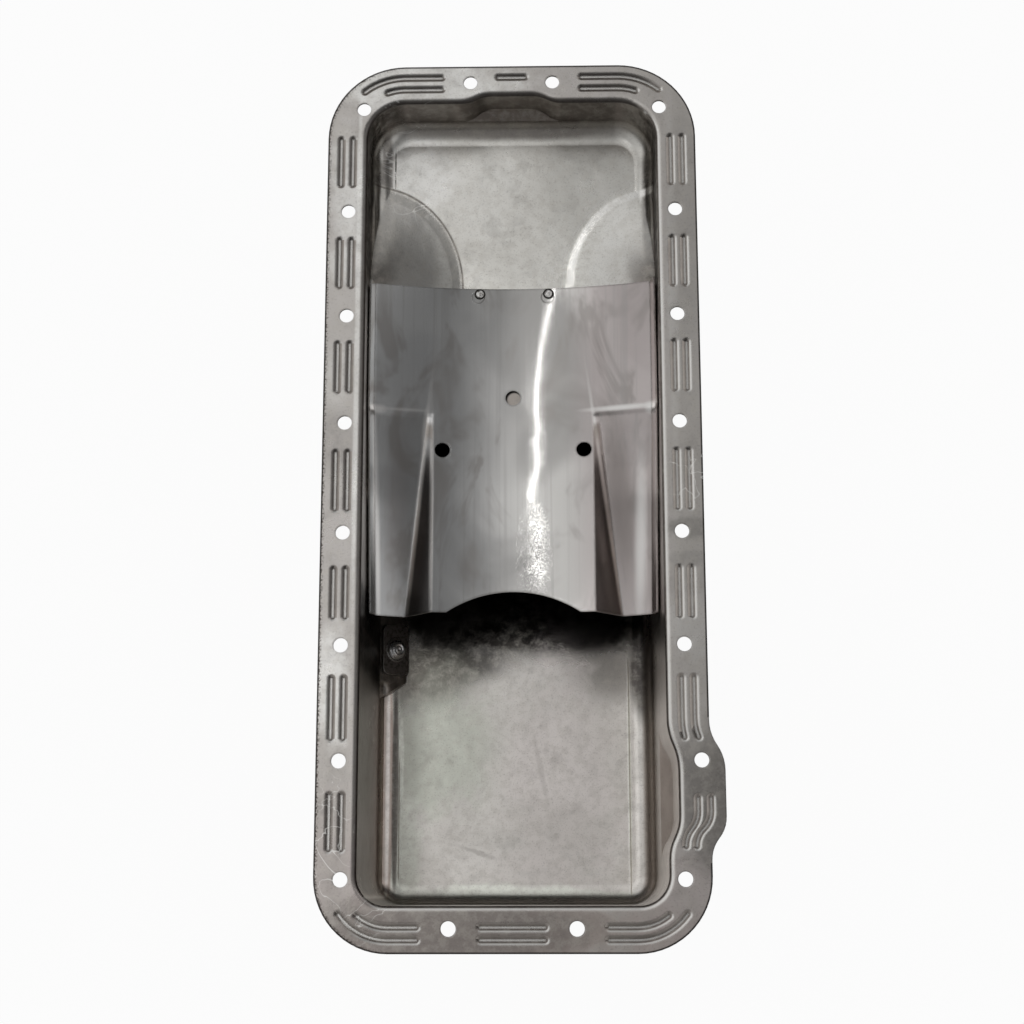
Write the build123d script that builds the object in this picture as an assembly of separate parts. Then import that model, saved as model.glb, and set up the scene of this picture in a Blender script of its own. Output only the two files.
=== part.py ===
from build123d import *
import math
import os

# Engine oil pan: one deep-drawn steel sheet with a flat bolting rail, a shallow front floor and a
# deep rear sump, a pressed windage baffle over the sump, and a drain with plate, plug and gasket.
#
# Frame: +X to the right of the pan seen from above with the shallow end forward, +Y forward, +Z up.
# The origin is the centre of the rail's bolt pattern, on the gasket face.

# ---- Sheets ---------------------------------------------------------------------------------------
PAN_SHEET = 1.6
BAFFLE_SHEET = 1.2

# ---- Bolting rail ---------------------------------------------------------------------------------
RAIL_HALF_WIDTH = 119.4
RAIL_FRONT = 241.3
RAIL_REAR = -325.7
RAIL_FRONT_RADIUS = 50.0
RAIL_REAR_RADIUS = 45.0
RAIL_BUMP = 9.2
BUMP_START = -187.7
BUMP_FULL_FRONT = -217.9
BUMP_FULL_REAR = -245.4
BUMP_END = -271.3

# Flat land between the rail's outer edge and the bend into the wall.
SIDE_LAND = 22.4
FRONT_LAND = 21.8
REAR_LAND = 24.7
BEND_RADIUS = 3.2

# ---- Bolt holes -----------------------------------------------------------------------------------
BOLT_HOLE_RADIUS = 4.5
ROW_PITCH = 70.6
SIDE_ROWS = range(-3, 3)
SIDE_BOLT_INSET = 13.9
BUMP_ROW = -3
BUMP_BOLT_SHIFT = 9.0
FRONT_CORNER_ROW = 3
FRONT_CORNER_BOLT_INSET = 23.1
REAR_CORNER_ROW = -4
REAR_CORNER_BOLT_INSET = 16.1
FRONT_END_BOLT_X = 26.8
FRONT_END_BOLT_INSET = 11.4
REAR_END_BOLT_X = 38.35
REAR_END_BOLT_INSET = 14.55

# ---- Stiffening beads pressed into the rail --------------------------------------------------------
BEAD_HALF_WIDTH = 2.8
BEAD_DEPTH = 1.4
BEAD_SLOPE = 57.0
OUTER_BEAD_INSET = 8.6
INNER_BEAD_INSET = 16.2
# Middle and length of the straight side beads, from the front bay rearward.
SIDE_BEADS = ((175.3, 36.5), (106.2, 36.0), (36.5, 36.0), (-37.4, 41.5), (-108.7, 35.0))
LAST_BEAD_START = -161.8
BEAD_TURN_START = -187.0
BEAD_TURN_END = -198.0
BEAD_TURNS = (2.2, 1.3)
REAR_BAY_Y = -248.5
REAR_BAY_LENGTH = 37.5
BUMP_BEAD_INSETS = (9.1, 16.9)
BUMP_BEAD_SHIFT = (9.0, 7.6)
BUMP_BEAD_FRONT = -234.4
BUMP_BEAD_TURN = -242.5
BUMP_BEAD_REAR = -263.0
FRONT_BEAD_INSETS = (7.6, 15.8)
FRONT_BEAD_SWEEPS = (39.0, 20.0)
FRONT_BEAD_END_X = 45.8
FRONT_MIDDLE_BEAD_HALF = 8.7
REAR_BEAD_INSETS = (8.0, 15.4)
REAR_BEAD_SWEEPS = (53.3, 38.8)
REAR_BEAD_END_X = 57.5
REAR_MIDDLE_BEAD_HALF = 19.2

# ---- Walls ----------------------------------------------------------------------------------------
WALL_FRONT_RADIUS = 25.0
WALL_REAR_RADIUS = 18.0
WALL_BUMP = 6.5
WALL_BUMP_START = -187.0
WALL_BUMP_FULL_FRONT = -217.8
WALL_BUMP_FULL_REAR = -244.6
WALL_BUMP_END = -271.0
BUMP_SHELF_TOP = 54.0
BUMP_SHELF_BOTTOM = 76.0
BULGE = 5.0
BULGE_HALF_FLAT = 13.0
BULGE_HALF_WIDTH = 33.0
BULGE_SHELF_TOP = 23.5
BULGE_SHELF_BOTTOM = 31.9
BULGE_SHELF_RUN = 6.0
BULGE_FILLET = 4.5

# ---- Floors ---------------------------------------------------------------------------------------
FLOOR_DEPTH = 43.5
FLOOR_FILLET = 12.0
SUMP_DEPTH = 150.0
SUMP_FILLET = 13.0
STEP_Y = 14.0
STEP_LEAN = 12.0
STEP_FILLET = 8.0
SUMP_CORNER_RADIUS = 20.0
FLARE_OVERLAP = 0.15
PAD_Y = 103.0
PAD_HALF_LENGTH = 70.0
PAD_WIDTH = 58.8
PAD_RISE = 13.0
PAD_BLEND_RUN = 6.0
PAD_BLEND_RISE = 0.5
PAD_BLEND_SLOPE = 0.03

# ---- Windage baffle -------------------------------------------------------------------------------
BAFFLE_FRONT = 102.0
BAFFLE_REAR = -115.0
BAFFLE_TROUGH_RADIUS = 296.0
BAFFLE_GAP = 0.2
BAFFLE_SHOULDER_INSET = 41.8
BAFFLE_FOOT_INSET = 37.8
BAFFLE_KNEE_INSET = 3.0
BAFFLE_WALL_GAP = 0.9
BAFFLE_FLANGE = 9.6
BAFFLE_BOW = 0.45
# The side channels: Y, then foot, knee and flange tip of the underside, each as its inset from
# the wall and its height above the front floor.
CHANNEL_START = 16.0
CHANNEL_SECTIONS = (
    (13.5, (37.8, 3.6), (3.1, 12.6), (0.9, 22.2)),
    (-115.0, (23.3, -16.5), (3.8, -7.5), (1.4, 2.5)),
)
BAFFLE_HOLE_RADIUS = 4.85
BAFFLE_HOLES = ((0.0, 27.1), (46.0, -8.6), (-46.0, -8.6))
WELD_RADIUS = 4.0
WELD_X = 23.0
WELD_Y = 96.0
WELD_CROWN = 0.3
NOTCH_HALF = 43.0
NOTCH_RISE = 13.4

# ---- Drain ----------------------------------------------------------------------------------------
DRAIN_ANGLE = 40.0
DRAIN_RUN = 17.8
DRAIN_Y = -125.6
DRAIN_HALF = 21.5
DRAIN_END_TAPER = 35.0
DRAIN_PLATE_LENGTH = 35.0
DRAIN_PLATE_WIDTH = 21.0
DRAIN_PLATE_SHEET = 3.0
DRAIN_PLATE_CORNER = 5.0
COLLAR_RADIUS = 8.0
COLLAR_HEIGHT = 0.8
THREAD_RADIUS = 6.3
PORT_CLEARANCE = 0.06
GASKET_RADIUS = 10.5
GASKET_SHEET = 1.6
WASHER_RADIUS = 10.8
WASHER_SHEET = 1.4
HEAD_FLATS = 19.0
HEAD_HEIGHT = 6.0
PLUG_REACH = 2.2
PLUG_CHAMFER = 1.3

WALL_X = RAIL_HALF_WIDTH - SIDE_LAND - BEND_RADIUS
WALL_FRONT = RAIL_FRONT - FRONT_LAND - BEND_RADIUS
WALL_REAR = RAIL_REAR + REAR_LAND + BEND_RADIUS
# Cutting bodies reach this far past what they cut, and selections allow the smaller amount.
MARGIN = 40.0
CLEAR = 5.0
BELOW = SUMP_DEPTH + MARGIN
DRAIN_FLOOR_X = DRAIN_RUN - WALL_X
STEP_SLOPE = math.tan(math.radians(STEP_LEAN))
DRAIN_TILT = math.radians(DRAIN_ANGLE)
DRAIN_END_FLARE = math.tan(math.radians(DRAIN_END_TAPER))


def s_bend(start, end, heading):
    """Two equal arcs that leave start and reach end along the same heading."""
    middle = ((start[0] + end[0]) / 2, (start[1] + end[1]) / 2)
    first = TangentArc(start, middle, tangent=heading)
    second = TangentArc(middle, end, tangent=first % 1)
    return [first, second]


def outline(x, front, rear, front_radius, rear_radius, bump=0.0, bump_y=None):
    """Closed plan outline of the rail or the wall, with the bump of its right-hand side."""
    edges = [
        Line((-x, rear + rear_radius), (-x, front - front_radius)),
        TangentArc((-x, front - front_radius), (-x + front_radius, front), tangent=(0, 1)),
        Line((-x + front_radius, front), (x - front_radius, front)),
        TangentArc((x - front_radius, front), (x, front - front_radius), tangent=(1, 0)),
    ]
    if bump:
        start, full_front, full_rear, end = bump_y
        edges.append(Line((x, front - front_radius), (x, start)))
        edges += s_bend((x, start), (x + bump, full_front), (0, -1))
        edges.append(Line((x + bump, full_front), (x + bump, full_rear)))
        edges += s_bend((x + bump, full_rear), (x, end), (0, -1))
        edges.append(Line((x, end), (x, rear + rear_radius)))
    else:
        edges.append(Line((x, front - front_radius), (x, rear + rear_radius)))
    edges += [
        TangentArc((x, rear + rear_radius), (x - rear_radius, rear), tangent=(0, -1)),
        Line((x - rear_radius, rear), (-x + rear_radius, rear)),
        TangentArc((-x + rear_radius, rear), (-x, rear + rear_radius), tangent=(-1, 0)),
    ]
    return Face(Wire(edges))


def wall_prism(grow, depth):
    """The space inside the walls, without bump or bulge, down to a flat floor at the given depth."""
    face = outline(
        WALL_X + grow,
        WALL_FRONT + grow,
        WALL_REAR - grow,
        WALL_FRONT_RADIUS + grow,
        WALL_REAR_RADIUS + grow,
    )
    return extrude(face, amount=depth + grow, dir=(0, 0, -1))


def bottom_edges(solid):
    return solid.edges().group_by(Axis.Z)[0]


def solid_along_y(edges, start, end):
    """Prism of an XZ section between two Y positions."""
    placed = Plane(origin=(0, start, 0), x_dir=(1, 0, 0), z_dir=(0, -1, 0)) * Face(Wire(edges))
    return extrude(placed, amount=end - start, dir=(0, 1, 0))


def solid_along_x(face, half_width):
    """Prism of a YZ section, centred on X = 0."""
    placed = Plane(origin=(-half_width, 0, 0), x_dir=(0, 1, 0), z_dir=(1, 0, 0)) * face
    return extrude(placed, amount=2 * half_width, dir=(1, 0, 0))


def box_between(low, high):
    size = [b - a for a, b in zip(low, high)]
    middle = [(a + b) / 2 for a, b in zip(low, high)]
    return Pos(*middle) * Box(*size)


def closed(points):
    return [Line(a, b) for a, b in zip(points, points[1:] + points[:1])]


def pad_section(grow, reach):
    """Section of a side pad seen along Y: its soft crease far left, the wall at zero, then level."""
    floor = -FLOOR_DEPTH - grow
    top = floor + PAD_RISE
    start = (-PAD_WIDTH, floor)
    blend = TangentArc(
        start, (PAD_BLEND_RUN - PAD_WIDTH, floor + PAD_BLEND_RISE), tangent=(1, PAD_BLEND_SLOPE)
    )
    edges = [
        blend,
        TangentArc(blend @ 1, (0, top), tangent=blend % 1),
        Line((0, -BELOW), (-PAD_WIDTH, -BELOW)),
        Line((-PAD_WIDTH, -BELOW), start),
    ]
    if reach:
        edges += [
            Line((0, top), (reach, top)),
            Line((reach, top), (reach, -BELOW)),
            Line((reach, -BELOW), (0, -BELOW)),
        ]
    else:
        edges.append(Line((0, top), (0, -BELOW)))
    return edges


def step_block(grow):
    """Everything below the front floor and pads, ending rearward at the rounded, leaning step."""
    x = WALL_X + grow
    radius = SUMP_CORNER_RADIUS + grow
    start = -FLOOR_DEPTH + PAD_RISE + CLEAR
    y = STEP_Y + grow + (start + FLOOR_DEPTH) * STEP_SLOPE
    side = x + FLARE_OVERLAP
    far = x + MARGIN
    front = WALL_FRONT + MARGIN
    plan = [
        Line((radius - side, y), (side - radius, y)),
        TangentArc((side - radius, y), (side, y - radius), tangent=(1, 0)),
        Line((side, y - radius), (far, y - radius)),
        Line((far, y - radius), (far, front)),
        Line((far, front), (-far, front)),
        Line((-far, front), (-far, y - radius)),
        Line((-far, y - radius), (-side, y - radius)),
        TangentArc((-side, y - radius), (radius - side, y), tangent=(0, 1)),
    ]
    drop = start + BELOW
    length = math.hypot(drop, drop * STEP_SLOPE)
    tall = extrude(Pos(0, 0, start) * Face(Wire(plan)), amount=length, dir=(0, -STEP_SLOPE, -1))
    under = box_between((-far, y - 2 * MARGIN, -BELOW), (far, front, -FLOOR_DEPTH - grow))
    pad = Pos(WALL_X, 0, 0) * solid_along_y(pad_section(grow, MARGIN), y - 2 * MARGIN, PAD_Y)
    block = tall & (under + pad + mirror(pad, Plane.YZ))
    rim = [
        edge
        for edge in block.edges()
        if edge.bounding_box().min.Y > y - radius - CLEAR
        and edge.bounding_box().max.Y < y + CLEAR
        and edge.bounding_box().min.Z > -FLOOR_DEPTH - grow - CLEAR
        and abs(edge.center().X) < x
    ]
    return fillet(rim, STEP_FILLET - grow)


def pad_ends(grow):
    """The front run-outs of the two side pads, quarter ellipses in plan."""
    turned = revolve(
        Plane.XZ * Face(Wire(pad_section(grow, 0))), axis=Axis.Z, revolution_arc=360
    )
    end = Pos(WALL_X, PAD_Y, 0) * scale(turned, by=(1, PAD_HALF_LENGTH / PAD_WIDTH, 1))
    return end + mirror(end, Plane.YZ)


def plan_along_front(grow):
    """Plan of the front bulge: flat in the middle, S-bends down to the front wall at both ends."""
    base = WALL_FRONT + grow
    top = base + BULGE
    back = WALL_FRONT - BULGE_SHELF_RUN - CLEAR
    flat = BULGE_HALF_FLAT
    half = BULGE_HALF_WIDTH
    edges = [Line((-half, back), (-half, base))]
    edges += s_bend((-half, base), (-flat, top), (1, 0))
    edges.append(Line((-flat, top), (flat, top)))
    edges += s_bend((flat, top), (half, base), (1, 0))
    edges += [Line((half, base), (half, back)), Line((half, back), (-half, back))]
    return Face(Wire(edges))


def bulge_pocket(grow):
    """Space added by the front bulge, closed below by a sloping shelf that runs into the floor."""
    wall = WALL_FRONT + BULGE
    run = BULGE_SHELF_RUN
    back = wall - run - CLEAR
    slope = (BULGE_SHELF_BOTTOM - BULGE_SHELF_TOP) / run
    low = BULGE_SHELF_BOTTOM + CLEAR * slope
    side = make_face(closed([(back, 0), (wall, 0), (wall, -BULGE_SHELF_TOP), (back, -low)]))
    if grow:
        side = offset(side, amount=grow, kind=Kind.INTERSECTION)
    corner = side.vertices().sort_by(Axis.X)[-2:].sort_by(Axis.Y)[0]
    side = fillet(corner, BULGE_FILLET + grow)
    upright = extrude(plan_along_front(grow), amount=FLOOR_DEPTH, dir=(0, 0, -1))
    return solid_along_x(side, BULGE_HALF_WIDTH + MARGIN) & upright


def bump_pocket(grow):
    """Space added by the bump of the right wall, closed below by a steep shelf."""
    base = WALL_X + grow
    out = base + WALL_BUMP
    inside = WALL_X - MARGIN / 2
    plan = [Line((inside, WALL_BUMP_END), (inside, WALL_BUMP_START))]
    plan.append(Line((inside, WALL_BUMP_START), (base, WALL_BUMP_START)))
    plan += s_bend((base, WALL_BUMP_START), (out, WALL_BUMP_FULL_FRONT), (0, -1))
    plan.append(Line((out, WALL_BUMP_FULL_FRONT), (out, WALL_BUMP_FULL_REAR)))
    plan += s_bend((out, WALL_BUMP_FULL_REAR), (base, WALL_BUMP_END), (0, -1))
    plan.append(Line((base, WALL_BUMP_END), (inside, WALL_BUMP_END)))
    upright = extrude(Face(Wire(plan)), amount=SUMP_DEPTH, dir=(0, 0, -1))
    wall = WALL_X + WALL_BUMP
    slope = (BUMP_SHELF_BOTTOM - BUMP_SHELF_TOP) / WALL_BUMP
    low = BUMP_SHELF_TOP + slope * (wall - inside)
    side = make_face(closed([(inside, 0), (wall, 0), (wall, -BUMP_SHELF_TOP), (inside, -low)]))
    if grow:
        side = offset(side, amount=grow, kind=Kind.INTERSECTION)
    placed = Plane(origin=(0, WALL_REAR, 0), x_dir=(1, 0, 0), z_dir=(0, -1, 0)) * side
    return upright & extrude(placed, amount=-WALL_REAR, dir=(0, 1, 0))


def drain_wedge(grow):
    """Metal side of the drain facet that cuts the sump's lower left corner."""
    lift = grow / math.cos(DRAIN_TILT)
    rise = math.tan(DRAIN_TILT)
    low = (DRAIN_FLOOR_X + MARGIN / 2, -SUMP_DEPTH - lift - rise * MARGIN / 2)
    high = (-WALL_X - MARGIN / 2, -SUMP_DEPTH - lift + rise * (WALL_X + MARGIN / 2 + DRAIN_FLOOR_X))
    side = closed([low, high, (high[0], -BELOW), (low[0], -BELOW)])
    across = DRAIN_FLOOR_X + WALL_X
    half = DRAIN_HALF - grow * DRAIN_END_FLARE
    wide = half + (across + MARGIN / 2) * DRAIN_END_FLARE
    tip = half - MARGIN / 2 * DRAIN_END_FLARE
    plan = closed([(low[0], -tip), (low[0], tip), (high[0], wide), (high[0], -wide)])
    upright = extrude(Pos(0, DRAIN_Y, 0) * make_face(plan), amount=BELOW, dir=(0, 0, -1))
    return upright & solid_along_y(side, DRAIN_Y - 2 * MARGIN, DRAIN_Y + 2 * MARGIN)


def cavity(grow):
    """The pan's inner space, or with grow at the sheet thickness, its outer form."""
    deep = wall_prism(grow, SUMP_DEPTH) - step_block(grow)
    deep = fillet(bottom_edges(deep), SUMP_FILLET + grow)
    shallow = wall_prism(grow, FLOOR_DEPTH)
    shallow = fillet(bottom_edges(shallow), FLOOR_FILLET + grow)
    far = WALL_X + MARGIN
    front = WALL_FRONT + MARGIN
    below_front = box_between((-far, PAD_Y, -BELOW), (far, front, -FLOOR_DEPTH + PAD_RISE)) - shallow
    space = deep - below_front
    space = space - pad_ends(grow)
    space = space + bulge_pocket(grow)
    space = space + bump_pocket(grow)
    space = space - drain_wedge(grow)
    return space


def loop_edges(solid, height):
    """The edges at one height that run round the opening, leaving out the rail's outer edge."""
    at_height = [
        edge
        for edge in solid.edges()
        if abs(edge.bounding_box().min.Z - height) < 0.01 and abs(edge.bounding_box().max.Z - height) < 0.01
    ]
    return [edge for edge in at_height if inside_opening(edge.center())]


def inside_opening(point):
    return (
        abs(point.X) < WALL_X + WALL_BUMP + CLEAR
        and WALL_REAR - CLEAR < point.Y < WALL_FRONT + BULGE + CLEAR
    )


def bead_solid(edges, half_width, top, depth):
    """A round-ended bar with sloping sides that follows the given edges in the rail."""
    face = Face(Wire(edges).offset_2d(half_width))
    return extrude(Pos(0, 0, top) * face, amount=depth, dir=(0, 0, -1), taper=BEAD_SLOPE)


def side_bead_lines():
    """Straight bead pairs between the bolt rows of both sides."""
    lines = []
    for middle, length in SIDE_BEADS:
        half = length / 2 - BEAD_HALF_WIDTH
        for inset in (OUTER_BEAD_INSET, INNER_BEAD_INSET):
            x = RAIL_HALF_WIDTH - inset
            for side in (-1, 1):
                lines.append([Line((side * x, middle + half), (side * x, middle - half))])
    return lines


def last_bead_lines():
    """Beads next to the bump on the right, and their straight match on the left."""
    lines = []
    for inset, turn in zip((OUTER_BEAD_INSET, INNER_BEAD_INSET), BEAD_TURNS):
        x = RAIL_HALF_WIDTH - inset
        start, bend, end = LAST_BEAD_START, BEAD_TURN_START, BEAD_TURN_END
        lines.append([Line((-x, start), (-x, end))])
        straight = Line((x, start), (x, bend))
        lines.append([straight, TangentArc((x, bend), (x + turn, end), tangent=(0, -1))])
        half = REAR_BAY_LENGTH / 2 - BEAD_HALF_WIDTH
        lines.append([Line((-x, REAR_BAY_Y + half), (-x, REAR_BAY_Y - half))])
    for inset, drop in zip(BUMP_BEAD_INSETS, BUMP_BEAD_SHIFT):
        x = RAIL_HALF_WIDTH + RAIL_BUMP - inset
        straight = Line((x, BUMP_BEAD_FRONT), (x, BUMP_BEAD_TURN))
        lines.append([straight] + s_bend((x, BUMP_BEAD_TURN), (x - drop, BUMP_BEAD_REAR), (0, -1)))
    return lines


def corner_bead(centre, radius, sweep_angle, end_x, forward):
    """Bead round one rail corner: a straight toward the middle and an arc toward the side."""
    x, y = centre
    top = y + forward * radius
    turn = math.radians(sweep_angle)
    tip = (x + radius * math.sin(turn), y + forward * radius * math.cos(turn))
    return [Line((end_x, top), (x, top)), TangentArc((x, top), tip, tangent=(1, 0))]


def end_bead_lines():
    lines = []
    front = (RAIL_HALF_WIDTH - RAIL_FRONT_RADIUS, RAIL_FRONT - RAIL_FRONT_RADIUS)
    for inset, angle in zip(FRONT_BEAD_INSETS, FRONT_BEAD_SWEEPS):
        lines.append(corner_bead(front, RAIL_FRONT_RADIUS - inset, angle, FRONT_BEAD_END_X, 1))
    rear = (RAIL_HALF_WIDTH - RAIL_REAR_RADIUS, RAIL_REAR + RAIL_REAR_RADIUS)
    for inset, angle in zip(REAR_BEAD_INSETS, REAR_BEAD_SWEEPS):
        lines.append(corner_bead(rear, RAIL_REAR_RADIUS - inset, angle, REAR_BEAD_END_X, -1))
    return lines


def middle_bead_lines():
    lines = []
    y = RAIL_FRONT - FRONT_BEAD_INSETS[0]
    lines.append([Line((-FRONT_MIDDLE_BEAD_HALF, y), (FRONT_MIDDLE_BEAD_HALF, y))])
    for inset in REAR_BEAD_INSETS:
        y = RAIL_REAR + inset
        lines.append([Line((-REAR_MIDDLE_BEAD_HALF, y), (REAR_MIDDLE_BEAD_HALF, y))])
    return lines


def beads(half_width, top, depth):
    """Every bead of the rail as solid bars of one section."""
    bars = []
    for line in side_bead_lines() + last_bead_lines() + middle_bead_lines():
        bars.append(bead_solid(line, half_width, top, depth))
    for line in end_bead_lines():
        bar = bead_solid(line, half_width, top, depth)
        bars += [bar, mirror(bar, Plane.YZ)]
    return bars


def bolt_points():
    """Plan positions of the twenty rail bolts."""
    points = []
    for row in SIDE_ROWS:
        x = RAIL_HALF_WIDTH - SIDE_BOLT_INSET
        shift = BUMP_BOLT_SHIFT if row == BUMP_ROW else 0.0
        points += [(-x, row * ROW_PITCH), (x + shift, row * ROW_PITCH)]
    for row, inset in (
        (FRONT_CORNER_ROW, FRONT_CORNER_BOLT_INSET),
        (REAR_CORNER_ROW, REAR_CORNER_BOLT_INSET),
    ):
        x = RAIL_HALF_WIDTH - inset
        points += [(-x, row * ROW_PITCH), (x, row * ROW_PITCH)]
    for side in (-1, 1):
        points.append((side * FRONT_END_BOLT_X, RAIL_FRONT - FRONT_END_BOLT_INSET))
        points.append((side * REAR_END_BOLT_X, RAIL_REAR + REAR_END_BOLT_INSET))
    return points


def in_drain_frame(solid):
    """Turns a solid built on the XY plane onto the drain facet, its +Z into the pan."""
    across = math.cos(DRAIN_TILT)
    rise = math.sin(DRAIN_TILT)
    run = (WALL_X + DRAIN_FLOOR_X) / 2
    origin = (DRAIN_FLOOR_X - run, DRAIN_Y, -SUMP_DEPTH + run * math.tan(DRAIN_TILT))
    facet = Plane(origin=origin, x_dir=(-across, 0, rise), z_dir=(rise, 0, across))
    return facet.location * solid


def pan_body():
    rail = outline(
        RAIL_HALF_WIDTH,
        RAIL_FRONT,
        RAIL_REAR,
        RAIL_FRONT_RADIUS,
        RAIL_REAR_RADIUS,
        RAIL_BUMP,
        (BUMP_START, BUMP_FULL_FRONT, BUMP_FULL_REAR, BUMP_END),
    )
    body = extrude(rail, amount=PAN_SHEET, dir=(0, 0, -1)) + cavity(PAN_SHEET) - cavity(0.0)
    body = fillet(loop_edges(body, 0.0), BEND_RADIUS)
    body = fillet(loop_edges(body, -PAN_SHEET), BEND_RADIUS - PAN_SHEET)
    seat = PAN_SHEET / 8
    spread = PAN_SHEET * math.tan(math.radians(90 - BEAD_SLOPE) / 2)
    body += beads(BEAD_HALF_WIDTH + spread + seat, -seat, BEAD_DEPTH + seat)
    body -= beads(BEAD_HALF_WIDTH, 0.0, BEAD_DEPTH)
    for x, y in bolt_points():
        body -= Pos(x, y, 0) * Cylinder(BOLT_HOLE_RADIUS, 2 * CLEAR)
    body -= in_drain_frame(Cylinder(THREAD_RADIUS + PORT_CLEARANCE, 2 * CLEAR))
    return body


def trough(x):
    """Height of the baffle's underside above the gasket face at a distance from its middle."""
    radius = BAFFLE_TROUGH_RADIUS
    return BAFFLE_GAP - FLOOR_DEPTH + radius - math.sqrt(radius**2 - x**2)


def offset_point(before, at, after, distance):
    """Mitre point at one corner of a line moved to its left by distance."""
    first = Vector(*at) - Vector(*before)
    second = Vector(*after) - Vector(*at)
    left_first = Vector(-first.Y, first.X).normalized()
    left_second = Vector(-second.Y, second.X).normalized()
    both = (left_first + left_second).normalized()
    reach = distance / both.dot(left_first)
    return (at[0] + both.X * reach, at[1] + both.Y * reach)


def baffle_face(y, foot, knee, tip):
    """Cross-section of the baffle at one Y: trough, side channel foot, knee and flange tip."""
    edge = WALL_X - BAFFLE_SHOULDER_INSET
    shoulder = (edge, trough(edge))
    inner = (edge - BAFFLE_SHEET, trough(edge - BAFFLE_SHEET))
    past = (2 * tip[0] - knee[0], 2 * tip[1] - knee[1])
    line = [shoulder, foot, knee, tip]
    around = [inner] + line + [past]
    top = [offset_point(a, b, c, BAFFLE_SHEET) for a, b, c in zip(around, around[1:], around[2:])]
    bow = BAFFLE_BOW
    mid_low = ((foot[0] + knee[0]) / 2, (foot[1] + knee[1]) / 2 - bow)
    mid_top = ((top[1][0] + top[2][0]) / 2, (top[1][1] + top[2][1]) / 2 - bow)

    def other(point):
        return (-point[0], point[1])

    edges = [ThreePointArc(other(shoulder), (0, trough(0)), shoulder)]
    edges.append(ThreePointArc(other(top[0]), (0, trough(0) + BAFFLE_SHEET), top[0]))
    for side in (lambda point: point, other):
        edges += [
            Line(side(shoulder), side(foot)),
            ThreePointArc(side(foot), side(mid_low), side(knee)),
            Line(side(knee), side(tip)),
            Line(side(tip), side(top[3])),
            Line(side(top[3]), side(top[2])),
            ThreePointArc(side(top[2]), side(mid_top), side(top[1])),
            Line(side(top[1]), side(top[0])),
        ]
    section = Face(Wire(edges))
    return Plane(origin=(0, y, 0), x_dir=(1, 0, 0), z_dir=(0, -1, 0)) * section


def from_wall(inset_and_rise):
    """Baffle point from its inset from the wall and its height above the front floor."""
    inset, rise = inset_and_rise
    return (WALL_X - inset, rise - FLOOR_DEPTH)


def windage_baffle():
    knee = (WALL_X - BAFFLE_KNEE_INSET, trough(WALL_X - BAFFLE_KNEE_INSET))
    foot = (WALL_X - BAFFLE_FOOT_INSET, trough(WALL_X - BAFFLE_FOOT_INSET))
    tip = (WALL_X - BAFFLE_WALL_GAP, knee[1] + BAFFLE_FLANGE)
    front = baffle_face(BAFFLE_FRONT, foot, knee, tip)
    crease = baffle_face(CHANNEL_START, foot, knee, tip)
    sections = [baffle_face(y, *map(from_wall, points)) for y, *points in CHANNEL_SECTIONS]
    sheet = extrude(front, amount=BAFFLE_FRONT - CHANNEL_START, dir=(0, -1, 0))
    for one, other in zip([crease] + sections, sections):
        sheet += loft([one, other], ruled=True)
    notch_radius = (NOTCH_HALF**2 + NOTCH_RISE**2) / (2 * NOTCH_RISE)
    notch_y = BAFFLE_REAR + NOTCH_RISE - notch_radius
    sheet -= Pos(0, notch_y, -FLOOR_DEPTH) * Cylinder(notch_radius, MARGIN)
    for x, y in BAFFLE_HOLES:
        sheet -= Pos(x, y, -FLOOR_DEPTH) * Cylinder(BAFFLE_HOLE_RADIUS, MARGIN)
    for side in (-1, 1):
        top = trough(WELD_X) + BAFFLE_SHEET + WELD_CROWN
        sheet += box_cylinder(side * WELD_X, WELD_Y, WELD_RADIUS, -FLOOR_DEPTH, top)
    return sheet


def box_cylinder(x, y, radius, low, high):
    return Pos(x, y, (low + high) / 2) * Cylinder(radius, high - low)


def drain_plate():
    """Threaded doubler plate on the inside of the drain facet."""
    blank = extrude(RectangleRounded(DRAIN_PLATE_WIDTH, DRAIN_PLATE_LENGTH, DRAIN_PLATE_CORNER), DRAIN_PLATE_SHEET)
    collar = Pos(0, 0, DRAIN_PLATE_SHEET) * extrude(Circle(COLLAR_RADIUS), COLLAR_HEIGHT)
    plate = blank + collar
    plate -= Cylinder(THREAD_RADIUS + PORT_CLEARANCE, MARGIN)
    return in_drain_frame(plate)


def drain_gasket():
    low = -PAN_SHEET - GASKET_SHEET
    ring = extrude(Pos(0, 0, low) * Circle(GASKET_RADIUS), GASKET_SHEET)
    ring -= Pos(0, 0, low) * Cylinder(THREAD_RADIUS + PORT_CLEARANCE, MARGIN)
    return in_drain_frame(ring)


def drain_plug():
    seat = -PAN_SHEET - GASKET_SHEET
    washer = extrude(Pos(0, 0, seat - WASHER_SHEET) * Circle(WASHER_RADIUS), WASHER_SHEET)
    head = extrude(
        Pos(0, 0, seat - WASHER_SHEET - HEAD_HEIGHT) * RegularPolygon(HEAD_FLATS / 2, 6, major_radius=False),
        HEAD_HEIGHT,
    )
    tip = DRAIN_PLATE_SHEET + COLLAR_HEIGHT + PLUG_REACH
    shank = extrude(Pos(0, 0, seat) * Circle(THREAD_RADIUS), tip - seat)
    shank = chamfer(shank.edges().group_by(Axis.Z)[-1], PLUG_CHAMFER)
    return in_drain_frame(head + washer + shank)


os.makedirs("parts", exist_ok=True)
nodes = {
    "pan_body": pan_body(),
    "windage_baffle": windage_baffle(),
    "drain_plate": drain_plate(),
    "drain_gasket": drain_gasket(),
    "drain_plug": drain_plug(),
}
for name, solid in nodes.items():
    export_step(solid, f"parts/{name}.step")
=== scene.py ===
import logging
import math
from dataclasses import dataclass, field
from enum import Enum
from functools import reduce

import bmesh
import bpy
from mathutils import Matrix, Vector


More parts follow.
